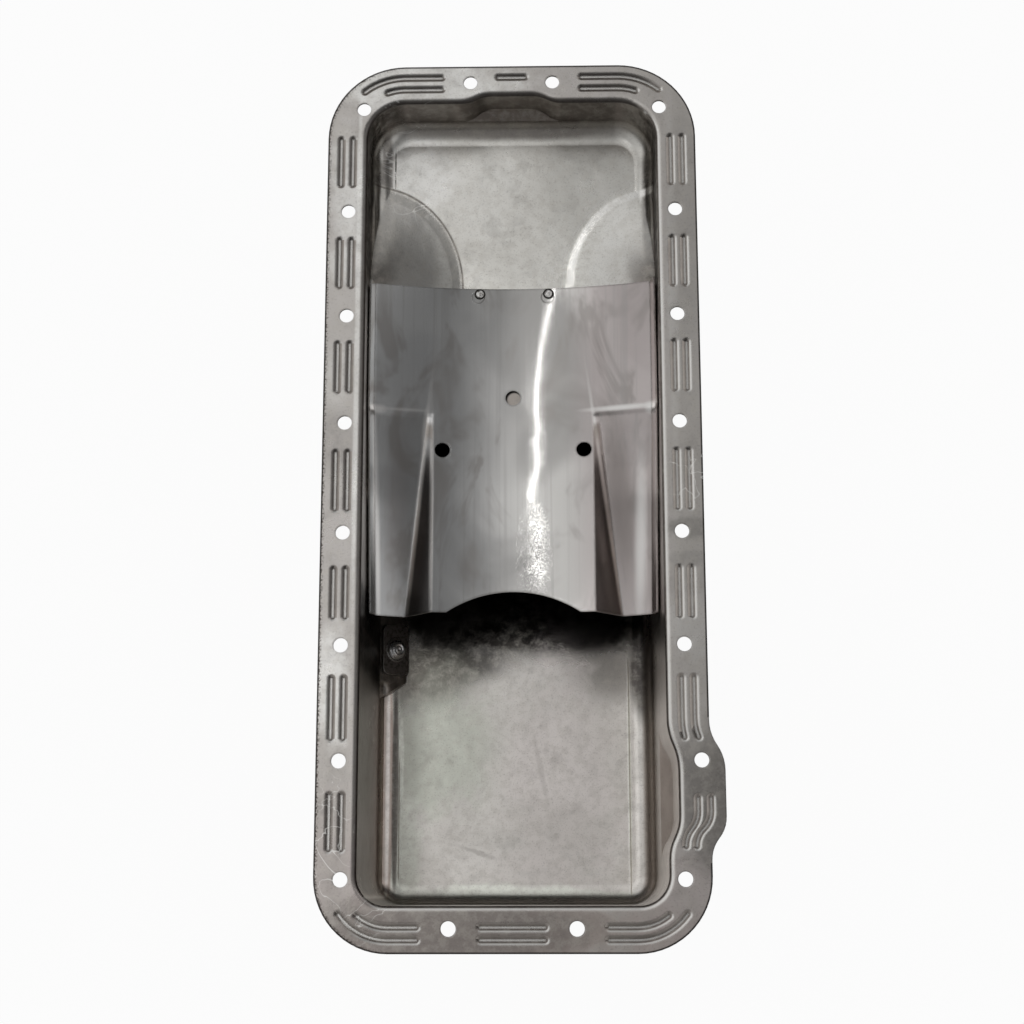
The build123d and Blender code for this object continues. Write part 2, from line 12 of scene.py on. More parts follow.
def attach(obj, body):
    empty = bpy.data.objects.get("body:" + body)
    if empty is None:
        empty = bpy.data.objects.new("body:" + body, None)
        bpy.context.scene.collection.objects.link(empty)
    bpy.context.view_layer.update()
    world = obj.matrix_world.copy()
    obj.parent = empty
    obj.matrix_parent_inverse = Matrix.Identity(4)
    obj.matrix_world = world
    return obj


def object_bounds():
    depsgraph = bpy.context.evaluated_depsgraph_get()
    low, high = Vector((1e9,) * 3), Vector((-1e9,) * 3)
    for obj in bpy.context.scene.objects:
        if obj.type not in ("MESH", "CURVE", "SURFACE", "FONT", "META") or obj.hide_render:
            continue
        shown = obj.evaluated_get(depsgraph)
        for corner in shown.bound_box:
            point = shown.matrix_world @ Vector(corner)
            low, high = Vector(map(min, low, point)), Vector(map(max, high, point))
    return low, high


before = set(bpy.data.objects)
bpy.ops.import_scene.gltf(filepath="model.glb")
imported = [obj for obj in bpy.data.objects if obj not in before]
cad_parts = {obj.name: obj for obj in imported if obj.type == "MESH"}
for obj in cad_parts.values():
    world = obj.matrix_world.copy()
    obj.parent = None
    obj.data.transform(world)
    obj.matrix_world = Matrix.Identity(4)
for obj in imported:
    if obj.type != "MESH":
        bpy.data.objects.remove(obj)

LOG = logging.getLogger("oil_pan")
CAD_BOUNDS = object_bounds()

Colour = tuple[float, float, float]
Point = tuple[float, float, float]
Pair = tuple[float, float]
Pairs = tuple[Pair, ...]
Socket = bpy.types.NodeSocket

# Places of the two colours and of the result among a Mix node's sockets.
MIX_COLOURS = (6, 7)
MIX_RESULT = 2

WHITE: Colour = (1.0, 1.0, 1.0)
GLINT: Colour = (1.0, 0.95, 0.91)
# Painted highlight along the sump floor's fillets.
EDGE_HIGHLIGHT: Colour = (0.95, 0.97, 0.88)
# Bare metal, and painted highlights.
BARE_AND_HIGHLIGHT: Colour = (0.86, 0.85, 0.82)
GREENISH: Colour = (0.66, 0.68, 0.60)
ROSY: Colour = (0.82, 0.76, 0.73)
PINKISH: Colour = (0.56, 0.49, 0.47)
# Warm painted highlight.
WARM_HIGHLIGHT: Colour = (0.52, 0.43, 0.385)
RUSTY: Colour = (0.42, 0.35, 0.32)
# Oil stains, and painted shade beside the shadow below the baffle.
OIL_AND_SHADE: Colour = (0.10, 0.085, 0.072)
# Painted shade in the sump's right corner.
CORNER_SHADE: Colour = (0.08, 0.07, 0.065)
# Black painted shade.
SHADE_BLACK: Colour = (0.012, 0.010, 0.009)
# Black, for painted shadow and for the dark shine of dark colours.
BLACK: Colour = (0.004, 0.004, 0.004)


class Axis(Enum):
    """The three axes of the pan's own frame."""

    ACROSS = "X"
    ALONG = "Y"
    UP = "Z"


class Region(Enum):
    """The levels of the pan that a stain, a worn area, painted shade or a painted highlight can lie on."""

    RAIL = "rail"
    WALLS = "walls"
    FRONT = "front floor"
    SUMP = "sump floor"


class Lay(Enum):
    """How the marks of a surface run: their density across, along and up the pan."""

    ALL_WAYS = (1.0, 1.0, 1.0)
    UP_THE_WALL = (150.0, 150.0, 5.0)
    SMEARED = (26.0, 14.0, 26.0)
    ALONG_THE_MILL = (300.0, 4.0, 300.0)


# ---- What finishes are made of: lengths in metres, turns in degrees anticlockwise -----------------


@dataclass(frozen=True)
class Grain:
    """One noise pattern: its scale in marks per metre, its finer layers, its bend and its place."""

    scale: float = 1.0
    lay: Lay = Lay.ALL_WAYS
    detail: float = 3.0
    rough: float = 0.5
    warp: float = 0.0
    seed: float = 0.0


@dataclass(frozen=True)
class Layer:
    """A thin layer that shows where a pattern rises from one level to another."""

    pattern: Grain
    low: float
    high: float
    amount: float = 1.0


@dataclass(frozen=True)
class Dents:
    """A fine relief that follows a pattern."""

    pattern: Grain
    strength: float
    depth: float


@dataclass(frozen=True)
class Spot:
    """An ellipse seen from above, with a fade whose width is a share of its size."""

    centre: Pair
    size: Pair
    soft: float = 0.6
    turn: float = 0.0


@dataclass(frozen=True)
class Patch:
    """A soft-edged area of one region that differs from the rest and whose outline strays."""

    region: Region
    centre: Pair
    size: Pair
    tone: Colour
    amount: float
    soft: float = 0.9
    stray: float = 0.3
    turn: float = 0.0


@dataclass(frozen=True)
class FoldLine:
    """A line beside a fold of the sheet, painted as a highlight along a fold and as shade in a channel."""

    centre: Pair
    size: Pair
    amount: float
    turn: float = 0.0
    soft: float = 1.6


@dataclass(frozen=True)
class PadLine:
    """A line of painted light and shade round a side pad: its distance and its fade are shares of the pad's
    size.
    """

    on_left: bool
    reach: float
    fade: Pair
    tone: Colour
    amount: float


@dataclass(frozen=True)
class Ridge:
    """A faint raised line along the pan where the dies met the sheet."""

    across: float
    span: Pair
    half: float
    height: float


# ---- Node building -------------------------------------------------------------------------------


class NodeWork:
    """Adds nodes to one node tree, a step at a time."""

    def __init__(self, tree: bpy.types.NodeTree) -> None:
        """Starts with an empty tree.

        Args:
            tree: A material's or the world's node tree.
        """
        self.tree = tree
        tree.nodes.clear()

    def put(self, target: Socket, value: object) -> None:
        """Sets an input to a constant or links another node's output to it.

        Args:
            target: The input socket.
            value: A number, a tuple or an output socket.
        """
        if isinstance(value, Socket):
            self.tree.links.new(value, target)
        else:
            target.default_value = value

    def node(self, kind: str, **inputs: object) -> bpy.types.Node:
        """Adds a node.

        Args:
            kind: The node's type in Blender.
            inputs: A number, a tuple or a socket for each input, with _ for a space in its name.

        Returns:
            The node.
        """
        node = self.tree.nodes.new(kind)
        for name, value in inputs.items():
            self.put(node.inputs[name.replace("_", " ")], value)
        return node

    def split(self, vector: Socket) -> dict[Axis, Socket]:
        """Returns a vector's part along each axis."""
        parts = self.node("ShaderNodeSeparateXYZ", Vector=vector)
        return {axis: parts.outputs[axis.value] for axis in Axis}

    def math(self, kind: str, *values: object, clamp: bool = False) -> Socket:
        """Adds a math step.

        Args:
            kind: The operation's name in Blender.
            values: Its numbers or sockets.
            clamp: Whether the result stays between 0 and 1.

        Returns:
            The result's socket.
        """
        node = self.tree.nodes.new("ShaderNodeMath")
        node.operation = kind
        node.use_clamp = clamp
        for target, value in zip(node.inputs, values):
            self.put(target, value)
        return node.outputs[0]

    def times(self, *values: object) -> object:
        """Multiplies values; one alone stays as it is."""
        return reduce(lambda total, value: self.math("MULTIPLY", total, value), values)

    def plus(self, *values: object) -> object:
        """Adds values up."""
        return reduce(lambda total, value: self.math("ADD", total, value), values)

    def most(self, *values: object) -> object:
        """Takes the largest of some values."""
        return reduce(lambda total, value: self.math("MAXIMUM", total, value), values)

    def away(self, value: Socket, middle: float) -> Socket:
        """Returns how far a value lies from a middle, to either side."""
        return self.math("ABSOLUTE", self.math("SUBTRACT", value, middle))

    def outside(self, mask: Socket) -> Socket:
        """Turns a mask inside out."""
        return self.math("SUBTRACT", 1.0, mask)

    def graded(self, base: float, *parts: tuple[Socket, float]) -> Socket:
        """Adds masks to a base number.

        Args:
            base: The number without them.
            parts: Each mask with what it adds.

        Returns:
            The sum's socket.
        """
        for mask, amount in parts:
            base = self.math("MULTIPLY_ADD", mask, amount, base)
        return base

    def step(self, value: Socket, low: float, high: float) -> Socket:
        """Rises smoothly from 0 at low to 1 at high.

        Args:
            value: The number that is tested.
            low: Where the rise starts.
            high: Where it ends; a lower number than low makes a fall.

        Returns:
            The socket of the smooth step.
        """
        start, end = (0.0, 1.0) if low < high else (1.0, 0.0)
        node = self.node("ShaderNodeMapRange", Value=value, To_Min=start, To_Max=end)
        node.interpolation_type = "SMOOTHSTEP"
        node.inputs["From Min"].default_value = min(low, high)
        node.inputs["From Max"].default_value = max(low, high)
        return node.outputs["Result"]

    def ramp(self, value: Socket, stops: Pairs) -> Socket:
        """Looks a value up on a smooth curve of grey levels.

        Args:
            value: The value, 0 to 1.
            stops: Places from 0 to 1, each with its level.

        Returns:
            The level's socket.
        """
        node = self.node("ShaderNodeValToRGB", Fac=value)
        node.color_ramp.interpolation = "B_SPLINE"
        while len(node.color_ramp.elements) < len(stops):
            node.color_ramp.elements.new(0.5)
        for element, (place, level) in zip(node.color_ramp.elements, stops):
            element.position = place
            element.color = (level, level, level, 1.0)
        return node.outputs["Color"]

    def cover(self, colour: object, tone: object, *amounts: object) -> Socket:
        """Paints a tone over a colour.

        Args:
            colour: The colour below, or its socket.
            tone: The colour that covers it, or its socket.
            amounts: Masks and strengths, which are multiplied.

        Returns:
            The painted colour's socket.
        """
        node = self.tree.nodes.new("ShaderNodeMix")
        node.data_type = "RGBA"
        self.put(node.inputs["Factor"], self.times(*amounts))
        for place, value in zip(MIX_COLOURS, (colour, tone)):
            self.put(node.inputs[place], (*value, 1.0) if isinstance(value, tuple) else value)
        return node.outputs[MIX_RESULT]


class Recipe(NodeWork):
    """Builds one node material in the pan's own frame."""

    def __init__(self, name: str, colour: Colour) -> None:
        """Starts an empty material with one surface shader.

        Args:
            name: The material's name.
            colour: The colour that the rest is painted over.
        """
        self.material = bpy.data.materials.new(name)
        self.material.use_nodes = True
        super().__init__(self.material.node_tree)
        self.output = self.node("ShaderNodeOutputMaterial")
        self.shader = self.node("ShaderNodeBsdfPrincipled")
        self.put(self.output.inputs["Surface"], self.shader.outputs["BSDF"])
        self.colour: object = colour
        self.place = self.node("ShaderNodeTexCoord").outputs["Object"]
        self.axes = self.split(self.place)
        self.leans: dict[Axis, Socket] = {}
        self.masks: dict[Region, Socket] = {}
        self.patterns: dict[Grain, Socket] = {}

    def set(self, name: str, value: object) -> None:
        """Sets one input of the surface shader."""
        self.put(self.shader.inputs[name], value)

    def paint(self, tone: Colour, *amounts: object) -> None:
        """Paints a tone over the colour so far, by the product of masks and strengths."""
        self.colour = self.cover(self.colour, tone, *amounts)

    def within(self, axis: Axis, span: Pair, soft: float) -> Socket:
        """Is 1 between two places on an axis and fades to 0 outside.

        Args:
            axis: The axis.
            span: The lower and the higher place.
            soft: Width of each fade.

        Returns:
            The mask's socket.
        """
        low, high = span
        rise = self.step(self.axes[axis], low - soft / 2, low + soft / 2)
        fall = self.step(self.axes[axis], high + soft / 2, high - soft / 2)
        return self.times(rise, fall)

    def noise(self, grain: Grain) -> Socket:
        """Returns a noise pattern, about 0.5 on average, and makes it only once."""
        if grain not in self.patterns:
            shift = (grain.seed, grain.seed * 1.7, grain.seed * 0.6)
            scale = tuple(density * grain.scale for density in grain.lay.value)
            moved = self.node("ShaderNodeMapping", Vector=self.place, Location=shift, Scale=scale)
            looks = {"Detail": grain.detail, "Roughness": grain.rough, "Distortion": grain.warp}
            node = self.node("ShaderNodeTexNoise", Vector=moved.outputs["Vector"], Scale=1.0, **looks)
            self.patterns[grain] = node.outputs["Fac"]
        return self.patterns[grain]

    def layer(self, layer: Layer) -> Socket:
        """Returns the mask of a layer that follows a pattern."""
        mask = self.step(self.noise(layer.pattern), layer.low, layer.high)
        return mask if layer.amount == 1.0 else self.times(mask, layer.amount)

    def spot(self, mark: Spot | Patch | FoldLine, stray: object = 0.0) -> Socket:
        """Is 1 inside an ellipse seen from above and fades to 0 round it.

        Args:
            mark: The ellipse.
            stray: How far its outline strays, as a share of its size.

        Returns:
            The mask's socket.
        """
        cos, sin = math.cos(math.radians(mark.turn)), math.sin(math.radians(mark.turn))
        squares = []
        for (across, along), half in zip(((cos, sin), (-sin, cos)), mark.size):
            shift = -(mark.centre[0] * across + mark.centre[1] * along) / half
            part = self.math("MULTIPLY_ADD", self.axes[Axis.ACROSS], across / half, shift)
            part = self.math("MULTIPLY_ADD", self.axes[Axis.ALONG], along / half, part)
            squares.append(self.times(part, part))
        reach = self.plus(self.math("SQRT", self.plus(*squares)), stray)
        return self.step(reach, 1 + mark.soft / 2, 1 - mark.soft / 2)

    def scratches(self, loops: Grain, width: float) -> Socket:
        """Draws thin wandering lines where a pattern crosses its middle level.

        Args:
            loops: The pattern.
            width: The lines' width as a share of a loop.

        Returns:
            The lines' mask.
        """
        return self.step(self.away(self.noise(loops), 0.5), width, width * 0.3)

    def facing(self, axis: Axis) -> Socket:
        """Returns how far the surface faces along an axis, from -1 to 1."""
        return self.split(self.node("ShaderNodeNewGeometry").outputs["True Normal"])[axis]

    def soften(self, radius: float, samples: int) -> Socket:
        """Rounds every sharp edge of the surface in shading.

        Args:
            radius: The rounding's radius.
            samples: How many rays look for edges.

        Returns:
            How far the rounded surface leans away from the flat one, 0 to 1.
        """
        bevel = self.node("ShaderNodeBevel", Radius=radius)
        bevel.samples = samples
        rounded = bevel.outputs["Normal"]
        self.set("Normal", rounded)
        self.leans = self.split(rounded)
        match = self.node("ShaderNodeVectorMath")
        match.operation = "DOT_PRODUCT"
        self.put(match.inputs[0], rounded)
        self.put(match.inputs[1], self.node("ShaderNodeNewGeometry").outputs["Normal"])
        return self.math("SUBTRACT", 1.0, match.outputs["Value"], clamp=True)

    def rim_distance(self, centre: Pair, half: Pair, corner: float) -> Socket:
        """Measures how far a point lies inside a round-cornered rectangle seen from above.

        Args:
            centre: The rectangle's middle.
            half: Its two half sizes.
            corner: Its corner radius.

        Returns:
            The distance to its edge, positive inside.
        """
        squares, inner = [], []
        for axis, middle, size in zip((Axis.ACROSS, Axis.ALONG), centre, half):
            past = self.math("SUBTRACT", self.away(self.axes[axis], middle), size - corner)
            outer = self.most(past, 0.0)
            squares.append(self.times(outer, outer))
            inner.append(past)
        reach = self.math("SQRT", self.plus(*squares))
        reach = self.plus(reach, self.math("MINIMUM", self.most(*inner), 0.0))
        return self.math("SUBTRACT", corner, reach)

    def bump(self, height: object, strength: float = 1.0, depth: float = 1.0) -> None:
        """Gives the surface shader a relief over the one that it has.

        Args:
            height: The relief's height, as a share of its depth.
            strength: How strongly it shows.
            depth: Its depth; 1 m for a height that is in metres.
        """
        node = self.node("ShaderNodeBump", Height=height, Strength=strength, Distance=depth)
        normal = self.shader.inputs["Normal"]
        if normal.is_linked:
            self.put(node.inputs["Normal"], normal.links[0].from_socket)
        self.put(normal, node.outputs["Normal"])

    def metal(self, rough: Socket, glance: float = 2.4) -> None:
        """Makes the surface bare metal whose dark stains and dark painted shade don't shine at a low angle.

        Args:
            rough: Its roughness.
            glance: How fast the shine at a low angle comes back as the colour gets paler.
        """
        shine = self.math("MULTIPLY", self.colour, glance, clamp=True)
        self.set("Base Color", self.colour)
        self.set("Specular Tint", self.cover(BLACK, WHITE, shine))
        self.set("Metallic", 1.0)
        self.set("Roughness", rough)


# ---- Finishes ------------------------------------------------------------------------------------


@dataclass(frozen=True)
class DrawnSteel:
    """Bare drawn sheet steel, dulled by oil and handling, in the colours of each region."""

    name: str = "drawn_steel"
    rail: Colour = (0.58, 0.55, 0.525)
    # Painted shade in the bead grooves.
    bead_shade: Colour = (0.19, 0.165, 0.15)
    wall: Colour = (0.42, 0.38, 0.35)
    front_floor: Colour = (0.80, 0.785, 0.74)
    sump_floor: Colour = (0.92, 0.885, 0.84)
    mottle: Colour = (0.55, 0.52, 0.47)
    speck: Colour = (0.10, 0.085, 0.075)
    # Painted shade along the rail's outer edge and on the beads' sides.
    edge_shade: Colour = (0.035, 0.030, 0.028)
    base_rough: float = 0.15
    least_rough: float = 0.08
    edge_radius: float = 0.0014

    # Levels: the heights or places between which one region passes into the next.
    sump_z: float = -0.150
    front_z: float = -0.0435
    rail_fade: Pair = (-0.0040, -0.0020)
    sump_fade: Pair = (0.006, 0.001)
    front_fade: Pair = (0.0150, 0.0020)
    front_start: Pair = (0.095, 0.099)

    # The sheet's inner side: the place that its walls face, and how much facing up counts.
    wall_middle: float = -0.04
    up_share: float = 0.05
    side_fade: Pair = (-0.004, 0.004)

    # The rail's outline, with the bump that reaches past it on the right.
    rail_centre: Pair = (0.0, -0.0422)
    rail_half: Pair = (0.1194, 0.2835)
    front_corner: float = 0.050
    rear_corner: float = 0.045
    corner_change: Pair = (-0.01, 0.01)
    bump_span: Pair = (-0.272, -0.187)
    bump_side: Pair = (0.10, 0.11)
    bump_soft: float = 0.002
    # A painted shade line along the rail's outer edge.
    rim_line: Pair = (0.0014, 0.0007)
    rim_amount: float = 0.9
    rim_grit: Pair = (0.0030, 0.0006)
    grit_side: Pair = (-0.060, -0.100)

    # The beads' painted shade and painted highlights: heights below the rail, leans of their sides, and how
    # strongly each line shows.
    bead_side: Pair = (-0.0002, -0.0010)
    bead_amount: float = 0.80
    bead_top: Pair = (-0.0009, -0.0004)
    bead_bottom: Pair = (-0.0009, -0.0013)
    shade_lean: Pair = (-0.06, -0.40)
    shade_amount: float = 0.75
    halo_lean: Pair = (0.05, 0.35)
    halo_amount: float = 0.85
    groove_lean: float = 0.05
    groove_fade: Pair = (0.10, 0.03)
    groove_amount: float = 0.9

    clouds: Grain = Grain(14.0, rough=0.58, warp=0.6)
    blotches: Grain = Grain(60.0, rough=0.68, warp=0.4, seed=7.0)
    freckles: Grain = Grain(170.0, rough=0.72, seed=17.0)
    grit: Grain = Grain(900.0, detail=1.0, rough=0.6, seed=3.0)
    streaks: Grain = Grain(lay=Lay.UP_THE_WALL, detail=2.0, rough=0.4, seed=5.0)
    hair: Grain = Grain(34.0, detail=2.0, rough=0.55, warp=1.6, seed=11.0)
    hair_width: float = 0.010
    hair_amount: float = 0.65
    outline_waves: Pair = (1.1, 4.0)
    wall_bands: Layer = Layer(streaks, 0.45, 0.70, 0.28)
    mottling: tuple[Layer, ...] = (Layer(clouds, 0.46, 0.60, 0.16), Layer(freckles, 0.42, 0.66, 0.30))
    dirt: Layer = Layer(blotches, 0.52, 0.74, 0.14)
    specks: Layer = Layer(grit, 0.55, 0.75, 0.18)
    rim_specks: Layer = Layer(grit, 0.45, 0.60)
    dents: tuple[Dents, ...] = (
        Dents(clouds, 1.0, 0.0005),
        Dents(freckles, 0.5, 0.00008),
        Dents(grit, 0.25, 0.00006),
    )

    pad_centre: Pair = (0.0938, 0.103)
    pad_half: Pair = (0.0588, 0.070)
    pad_polish: Pair = (1.06, 1.0)
    left_side: Pair = (0.001, -0.001)
    # Painted shade round the left pad's edge and a painted highlight round the right one's.
    pad_light_lines: tuple[PadLine, ...] = (
        PadLine(True, 0.97, (0.09, 0.05), (0.36, 0.35, 0.33), 0.9),
        PadLine(True, 1.03, (0.014, 0.004), (0.10, 0.085, 0.075), 0.80),
        PadLine(False, 0.95, (0.05, 0.02), BARE_AND_HIGHLIGHT, 0.9),
    )

    # Painted shadow below the baffle, and the spot that its front hole shows.
    baffle_shadow: Spot = Spot((0.0, 0.0), (0.078, 0.095), 0.1)
    baffle_shadow_amount: float = 0.985
    seen_through_hole: Spot = Spot((0.0008, 0.0262), (0.0046, 0.0046), 0.3)
    # The drain's facet, whose edges get painted highlights.
    drain: Spot = Spot((-0.082, -0.128), (0.014, 0.030), 0.3)
    drain_fade: Pair = (-0.10, -0.12)
    drain_edge_highlight: Pair = (0.02, 0.12)
    scratched: tuple[Spot, ...] = (
        Spot((-0.066, 0.188), (0.020, 0.034)),
        Spot((-0.109, -0.262), (0.012, 0.040)),
        Spot((-0.104, -0.300), (0.030, 0.020)),
        Spot((0.112, -0.035), (0.016, 0.016)),
    )
    patches: tuple[Patch, ...] = (
        Patch(Region.RAIL, (-0.112, -0.300), (0.045, 0.060), PINKISH, 0.7),
        Patch(Region.RAIL, (0.0, -0.312), (0.100, 0.018), RUSTY, 0.9),
        Patch(Region.RAIL, (-0.030, -0.312), (0.085, 0.018), (0.26, 0.235, 0.22), 0.85),
        Patch(Region.RAIL, (-0.109, -0.240), (0.012, 0.065), (0.40, 0.375, 0.35), 0.6),
        Patch(Region.RAIL, (0.104, -0.300), (0.040, 0.030), PINKISH, 0.5),
        Patch(Region.RAIL, (0.122, -0.230), (0.020, 0.042), (0.24, 0.225, 0.21), 0.9, 0.8),
        Patch(Region.RAIL, (0.112, -0.068), (0.016, 0.008), (0.24, 0.23, 0.22), 0.80, 0.6, 0.5),
        Patch(Region.RAIL, (0.112, -0.088), (0.016, 0.005), (0.28, 0.27, 0.26), 0.45, 0.9, 0.5),
        Patch(Region.RAIL, (0.112, -0.130), (0.014, 0.024), BARE_AND_HIGHLIGHT, 0.45),
        Patch(Region.RAIL, (-0.109, -0.165), (0.010, 0.034), BARE_AND_HIGHLIGHT, 0.80),
        # Painted highlight along the left rail's inner edge.
        Patch(Region.RAIL, (-0.0985, 0.060), (0.0016, 0.170), BARE_AND_HIGHLIGHT, 0.9, 0.9, 0.12),
        Patch(Region.RAIL, (-0.106, 0.158), (0.010, 0.040), BARE_AND_HIGHLIGHT, 0.7),
        Patch(Region.RAIL, (-0.108, 0.105), (0.010, 0.012), BARE_AND_HIGHLIGHT, 0.6),
        Patch(Region.RAIL, (-0.112, 0.030), (0.010, 0.020), BARE_AND_HIGHLIGHT, 0.4),
        Patch(Region.RAIL, (-0.112, -0.010), (0.014, 0.020), OIL_AND_SHADE, 0.22),
        Patch(Region.RAIL, (-0.062, 0.230), (0.064, 0.017), BARE_AND_HIGHLIGHT, 0.95),
        Patch(Region.RAIL, (0.070, 0.210), (0.014, 0.010), BARE_AND_HIGHLIGHT, 0.5),
        Patch(Region.RAIL, (0.103, 0.080), (0.003, 0.130), BARE_AND_HIGHLIGHT, 0.35),
        Patch(Region.FRONT, (-0.064, 0.186), (0.022, 0.028), BARE_AND_HIGHLIGHT, 0.95),
        Patch(Region.FRONT, (-0.015, 0.160), (0.035, 0.030), BARE_AND_HIGHLIGHT, 0.25),
        Patch(Region.FRONT, (0.052, 0.178), (0.034, 0.040), (0.46, 0.45, 0.42), 0.40),
        # Painted shade at the foot of the front wall and of both side walls.
        Patch(Region.FRONT, (0.0, 0.2135), (0.085, 0.0050), (0.26, 0.235, 0.215), 0.85, 0.9, 0.15),
        Patch(Region.FRONT, (0.0945, 0.150), (0.0080, 0.080), (0.08, 0.072, 0.065), 0.95, 0.4, 0.0),
        Patch(Region.FRONT, (-0.0950, 0.150), (0.0075, 0.075), (0.09, 0.082, 0.075), 0.95, 0.4, 0.0),
        Patch(Region.RAIL, (0.112, 0.150), (0.012, 0.080), (0.42, 0.40, 0.375), 0.65),
        Patch(Region.RAIL, (0.112, -0.060), (0.012, 0.140), (0.44, 0.42, 0.395), 0.40),
        # Painted shade in the front floor's left fillet, with a black line in its crease.
        Patch(Region.FRONT, (-0.0845, 0.182), (0.0036, 0.036), (0.14, 0.125, 0.115), 0.85, 0.7, 0.15),
        Patch(Region.FRONT, (-0.0790, 0.186), (0.0006, 0.013), SHADE_BLACK, 0.9, 0.9, 0.25),
        # Painted shade on the left pad and painted light on the right pad.
        Patch(Region.FRONT, (-0.0860, 0.112), (0.036, 0.058), (0.52, 0.505, 0.48), 0.85, 0.3, 0.0),
        Patch(Region.FRONT, (-0.0900, 0.115), (0.016, 0.044), (0.27, 0.26, 0.245), 0.65, 1.2, 0.0),
        Patch(Region.FRONT, (0.0760, 0.120), (0.022, 0.045), BARE_AND_HIGHLIGHT, 0.55, 0.9, 0.2),
        # Painted shadow below the baffle's rear edge: a black core and darker patches round it.
        Patch(Region.SUMP, (0.0, -0.102), (0.110, 0.028), SHADE_BLACK, 0.98, 0.6, 0.14),
        Patch(Region.SUMP, (-0.036, -0.136), (0.030, 0.011), SHADE_BLACK, 0.85, 1.2, 0.2),
        Patch(Region.SUMP, (-0.062, -0.142), (0.032, 0.024), SHADE_BLACK, 0.80, 1.3, 0.25),
        Patch(Region.SUMP, (-0.064, -0.148), (0.022, 0.020), OIL_AND_SHADE, 0.60, 1.2, 0.3),
        Patch(Region.SUMP, (0.064, -0.142), (0.026, 0.020), OIL_AND_SHADE, 0.65, 1.2, 0.3),
        Patch(Region.SUMP, (-0.050, -0.192), (0.040, 0.046), GREENISH, 0.9, 1.0, 0.4),
        Patch(Region.SUMP, (0.030, -0.215), (0.045, 0.075), ROSY, 0.7, 0.9, 0.4),
        # Painted shade beside the shadow below the baffle's rear edge, and in the right corner there.
        Patch(Region.SUMP, (-0.062, -0.140), (0.030, 0.020), (0.16, 0.15, 0.13), 0.75, 1.3, 0.25),
        Patch(Region.SUMP, (0.0870, -0.138), (0.0080, 0.034), CORNER_SHADE, 0.9, 0.6, 0.0),
        Patch(Region.WALLS, (0.0900, -0.138), (0.0080, 0.034), CORNER_SHADE, 0.9, 0.6, 0.0),
        # Painted highlights along the sump floor's fillets.
        Patch(Region.SUMP, (-0.078, -0.268), (0.013, 0.036), EDGE_HIGHLIGHT, 1.0, 0.7, 0.3),
        Patch(Region.SUMP, (-0.0795, -0.205), (0.0018, 0.032), EDGE_HIGHLIGHT, 0.95, 0.6, 0.2),
        Patch(Region.SUMP, (-0.030, -0.291), (0.062, 0.0060), EDGE_HIGHLIGHT, 0.9, 0.8, 0.4),
        Patch(Region.SUMP, (0.048, -0.292), (0.036, 0.0042), EDGE_HIGHLIGHT, 0.75, 0.8, 0.4),
        Patch(Region.SUMP, (-0.030, -0.262), (0.013, 0.0014), OIL_AND_SHADE, 0.28, 1.2, 0.8, -18.0),
        Patch(Region.SUMP, (0.016, -0.205), (0.0014, 0.020), OIL_AND_SHADE, 0.16, 1.4, 0.8, 12.0),
        # Painted highlight along the sump floor's right fillet.
        Patch(Region.SUMP, (0.0775, -0.215), (0.0012, 0.070), EDGE_HIGHLIGHT, 0.9, 0.8, 0.1),
        # Painted shade on the front of the walls.
        Patch(Region.WALLS, (0.0, 0.205), (0.092, 0.026), (0.19, 0.165, 0.145), 0.8, 0.6, 0.2),
        Patch(Region.WALLS, (0.094, 0.150), (0.020, 0.080), (0.10, 0.09, 0.08), 0.95, 0.5, 0.2),
        Patch(Region.WALLS, (-0.094, 0.150), (0.020, 0.070), (0.13, 0.12, 0.105), 0.95, 0.5, 0.2),
        # Painted light on the middle of the side walls.
        Patch(Region.WALLS, (-0.092, -0.050), (0.020, 0.062), (0.52, 0.48, 0.45), 0.5, 0.4, 0.1),
        Patch(Region.WALLS, (0.094, -0.050), (0.020, 0.062), (0.66, 0.62, 0.59), 0.8, 0.4, 0.1),
        # Painted highlight along the sump's left fillet, with painted shade on either side.
        Patch(Region.WALLS, (-0.092, -0.230), (0.018, 0.070), (0.40, 0.35, 0.32), 0.8, 0.4, 0.2),
        Patch(Region.WALLS, (-0.0882, -0.222), (0.0040, 0.080), WARM_HIGHLIGHT, 1.0, 0.3, 0.05),
        Patch(Region.SUMP, (-0.0882, -0.222), (0.0038, 0.080), WARM_HIGHLIGHT, 1.0, 0.3, 0.05),
        Patch(Region.WALLS, (-0.0884, -0.222), (0.0012, 0.082), GLINT, 1.0, 1.2, 0.05),
        Patch(Region.SUMP, (-0.0884, -0.222), (0.0012, 0.082), GLINT, 1.0, 1.2, 0.05),
        Patch(Region.SUMP, (-0.0834, -0.222), (0.0022, 0.074), (0.20, 0.18, 0.165), 0.9, 0.5, 0.1),
        # Painted light on the rear of the right wall.
        Patch(Region.WALLS, (0.094, -0.190), (0.018, 0.110), (0.66, 0.60, 0.56), 0.8, 0.4, 0.2),
        # Painted shade on the wall round the drain.
        Patch(Region.WALLS, (-0.083, -0.128), (0.017, 0.034), (0.085, 0.078, 0.072), 0.95, 0.3, 0.05),
    )

    # Die lines low in the sump, and the flattened bend along its left side.
    ridges: tuple[Ridge, ...] = (
        Ridge(0.0770, (-0.292, -0.135), 0.0011, 0.00026),
        Ridge(-0.0800, (-0.285, -0.200), 0.0012, 0.00012),
    )
    ridge_fade: Pair = (-0.132, -0.140)
    ridge_soft: float = 0.012
    flat_from: float = -0.0854
    flat_width: float = 0.0057
    flat_rate: float = 9200.0
    flat_span: Pair = (-0.300, -0.150)
    flat_soft: float = 0.006
    flat_fade: Pair = (-0.126, -0.132)

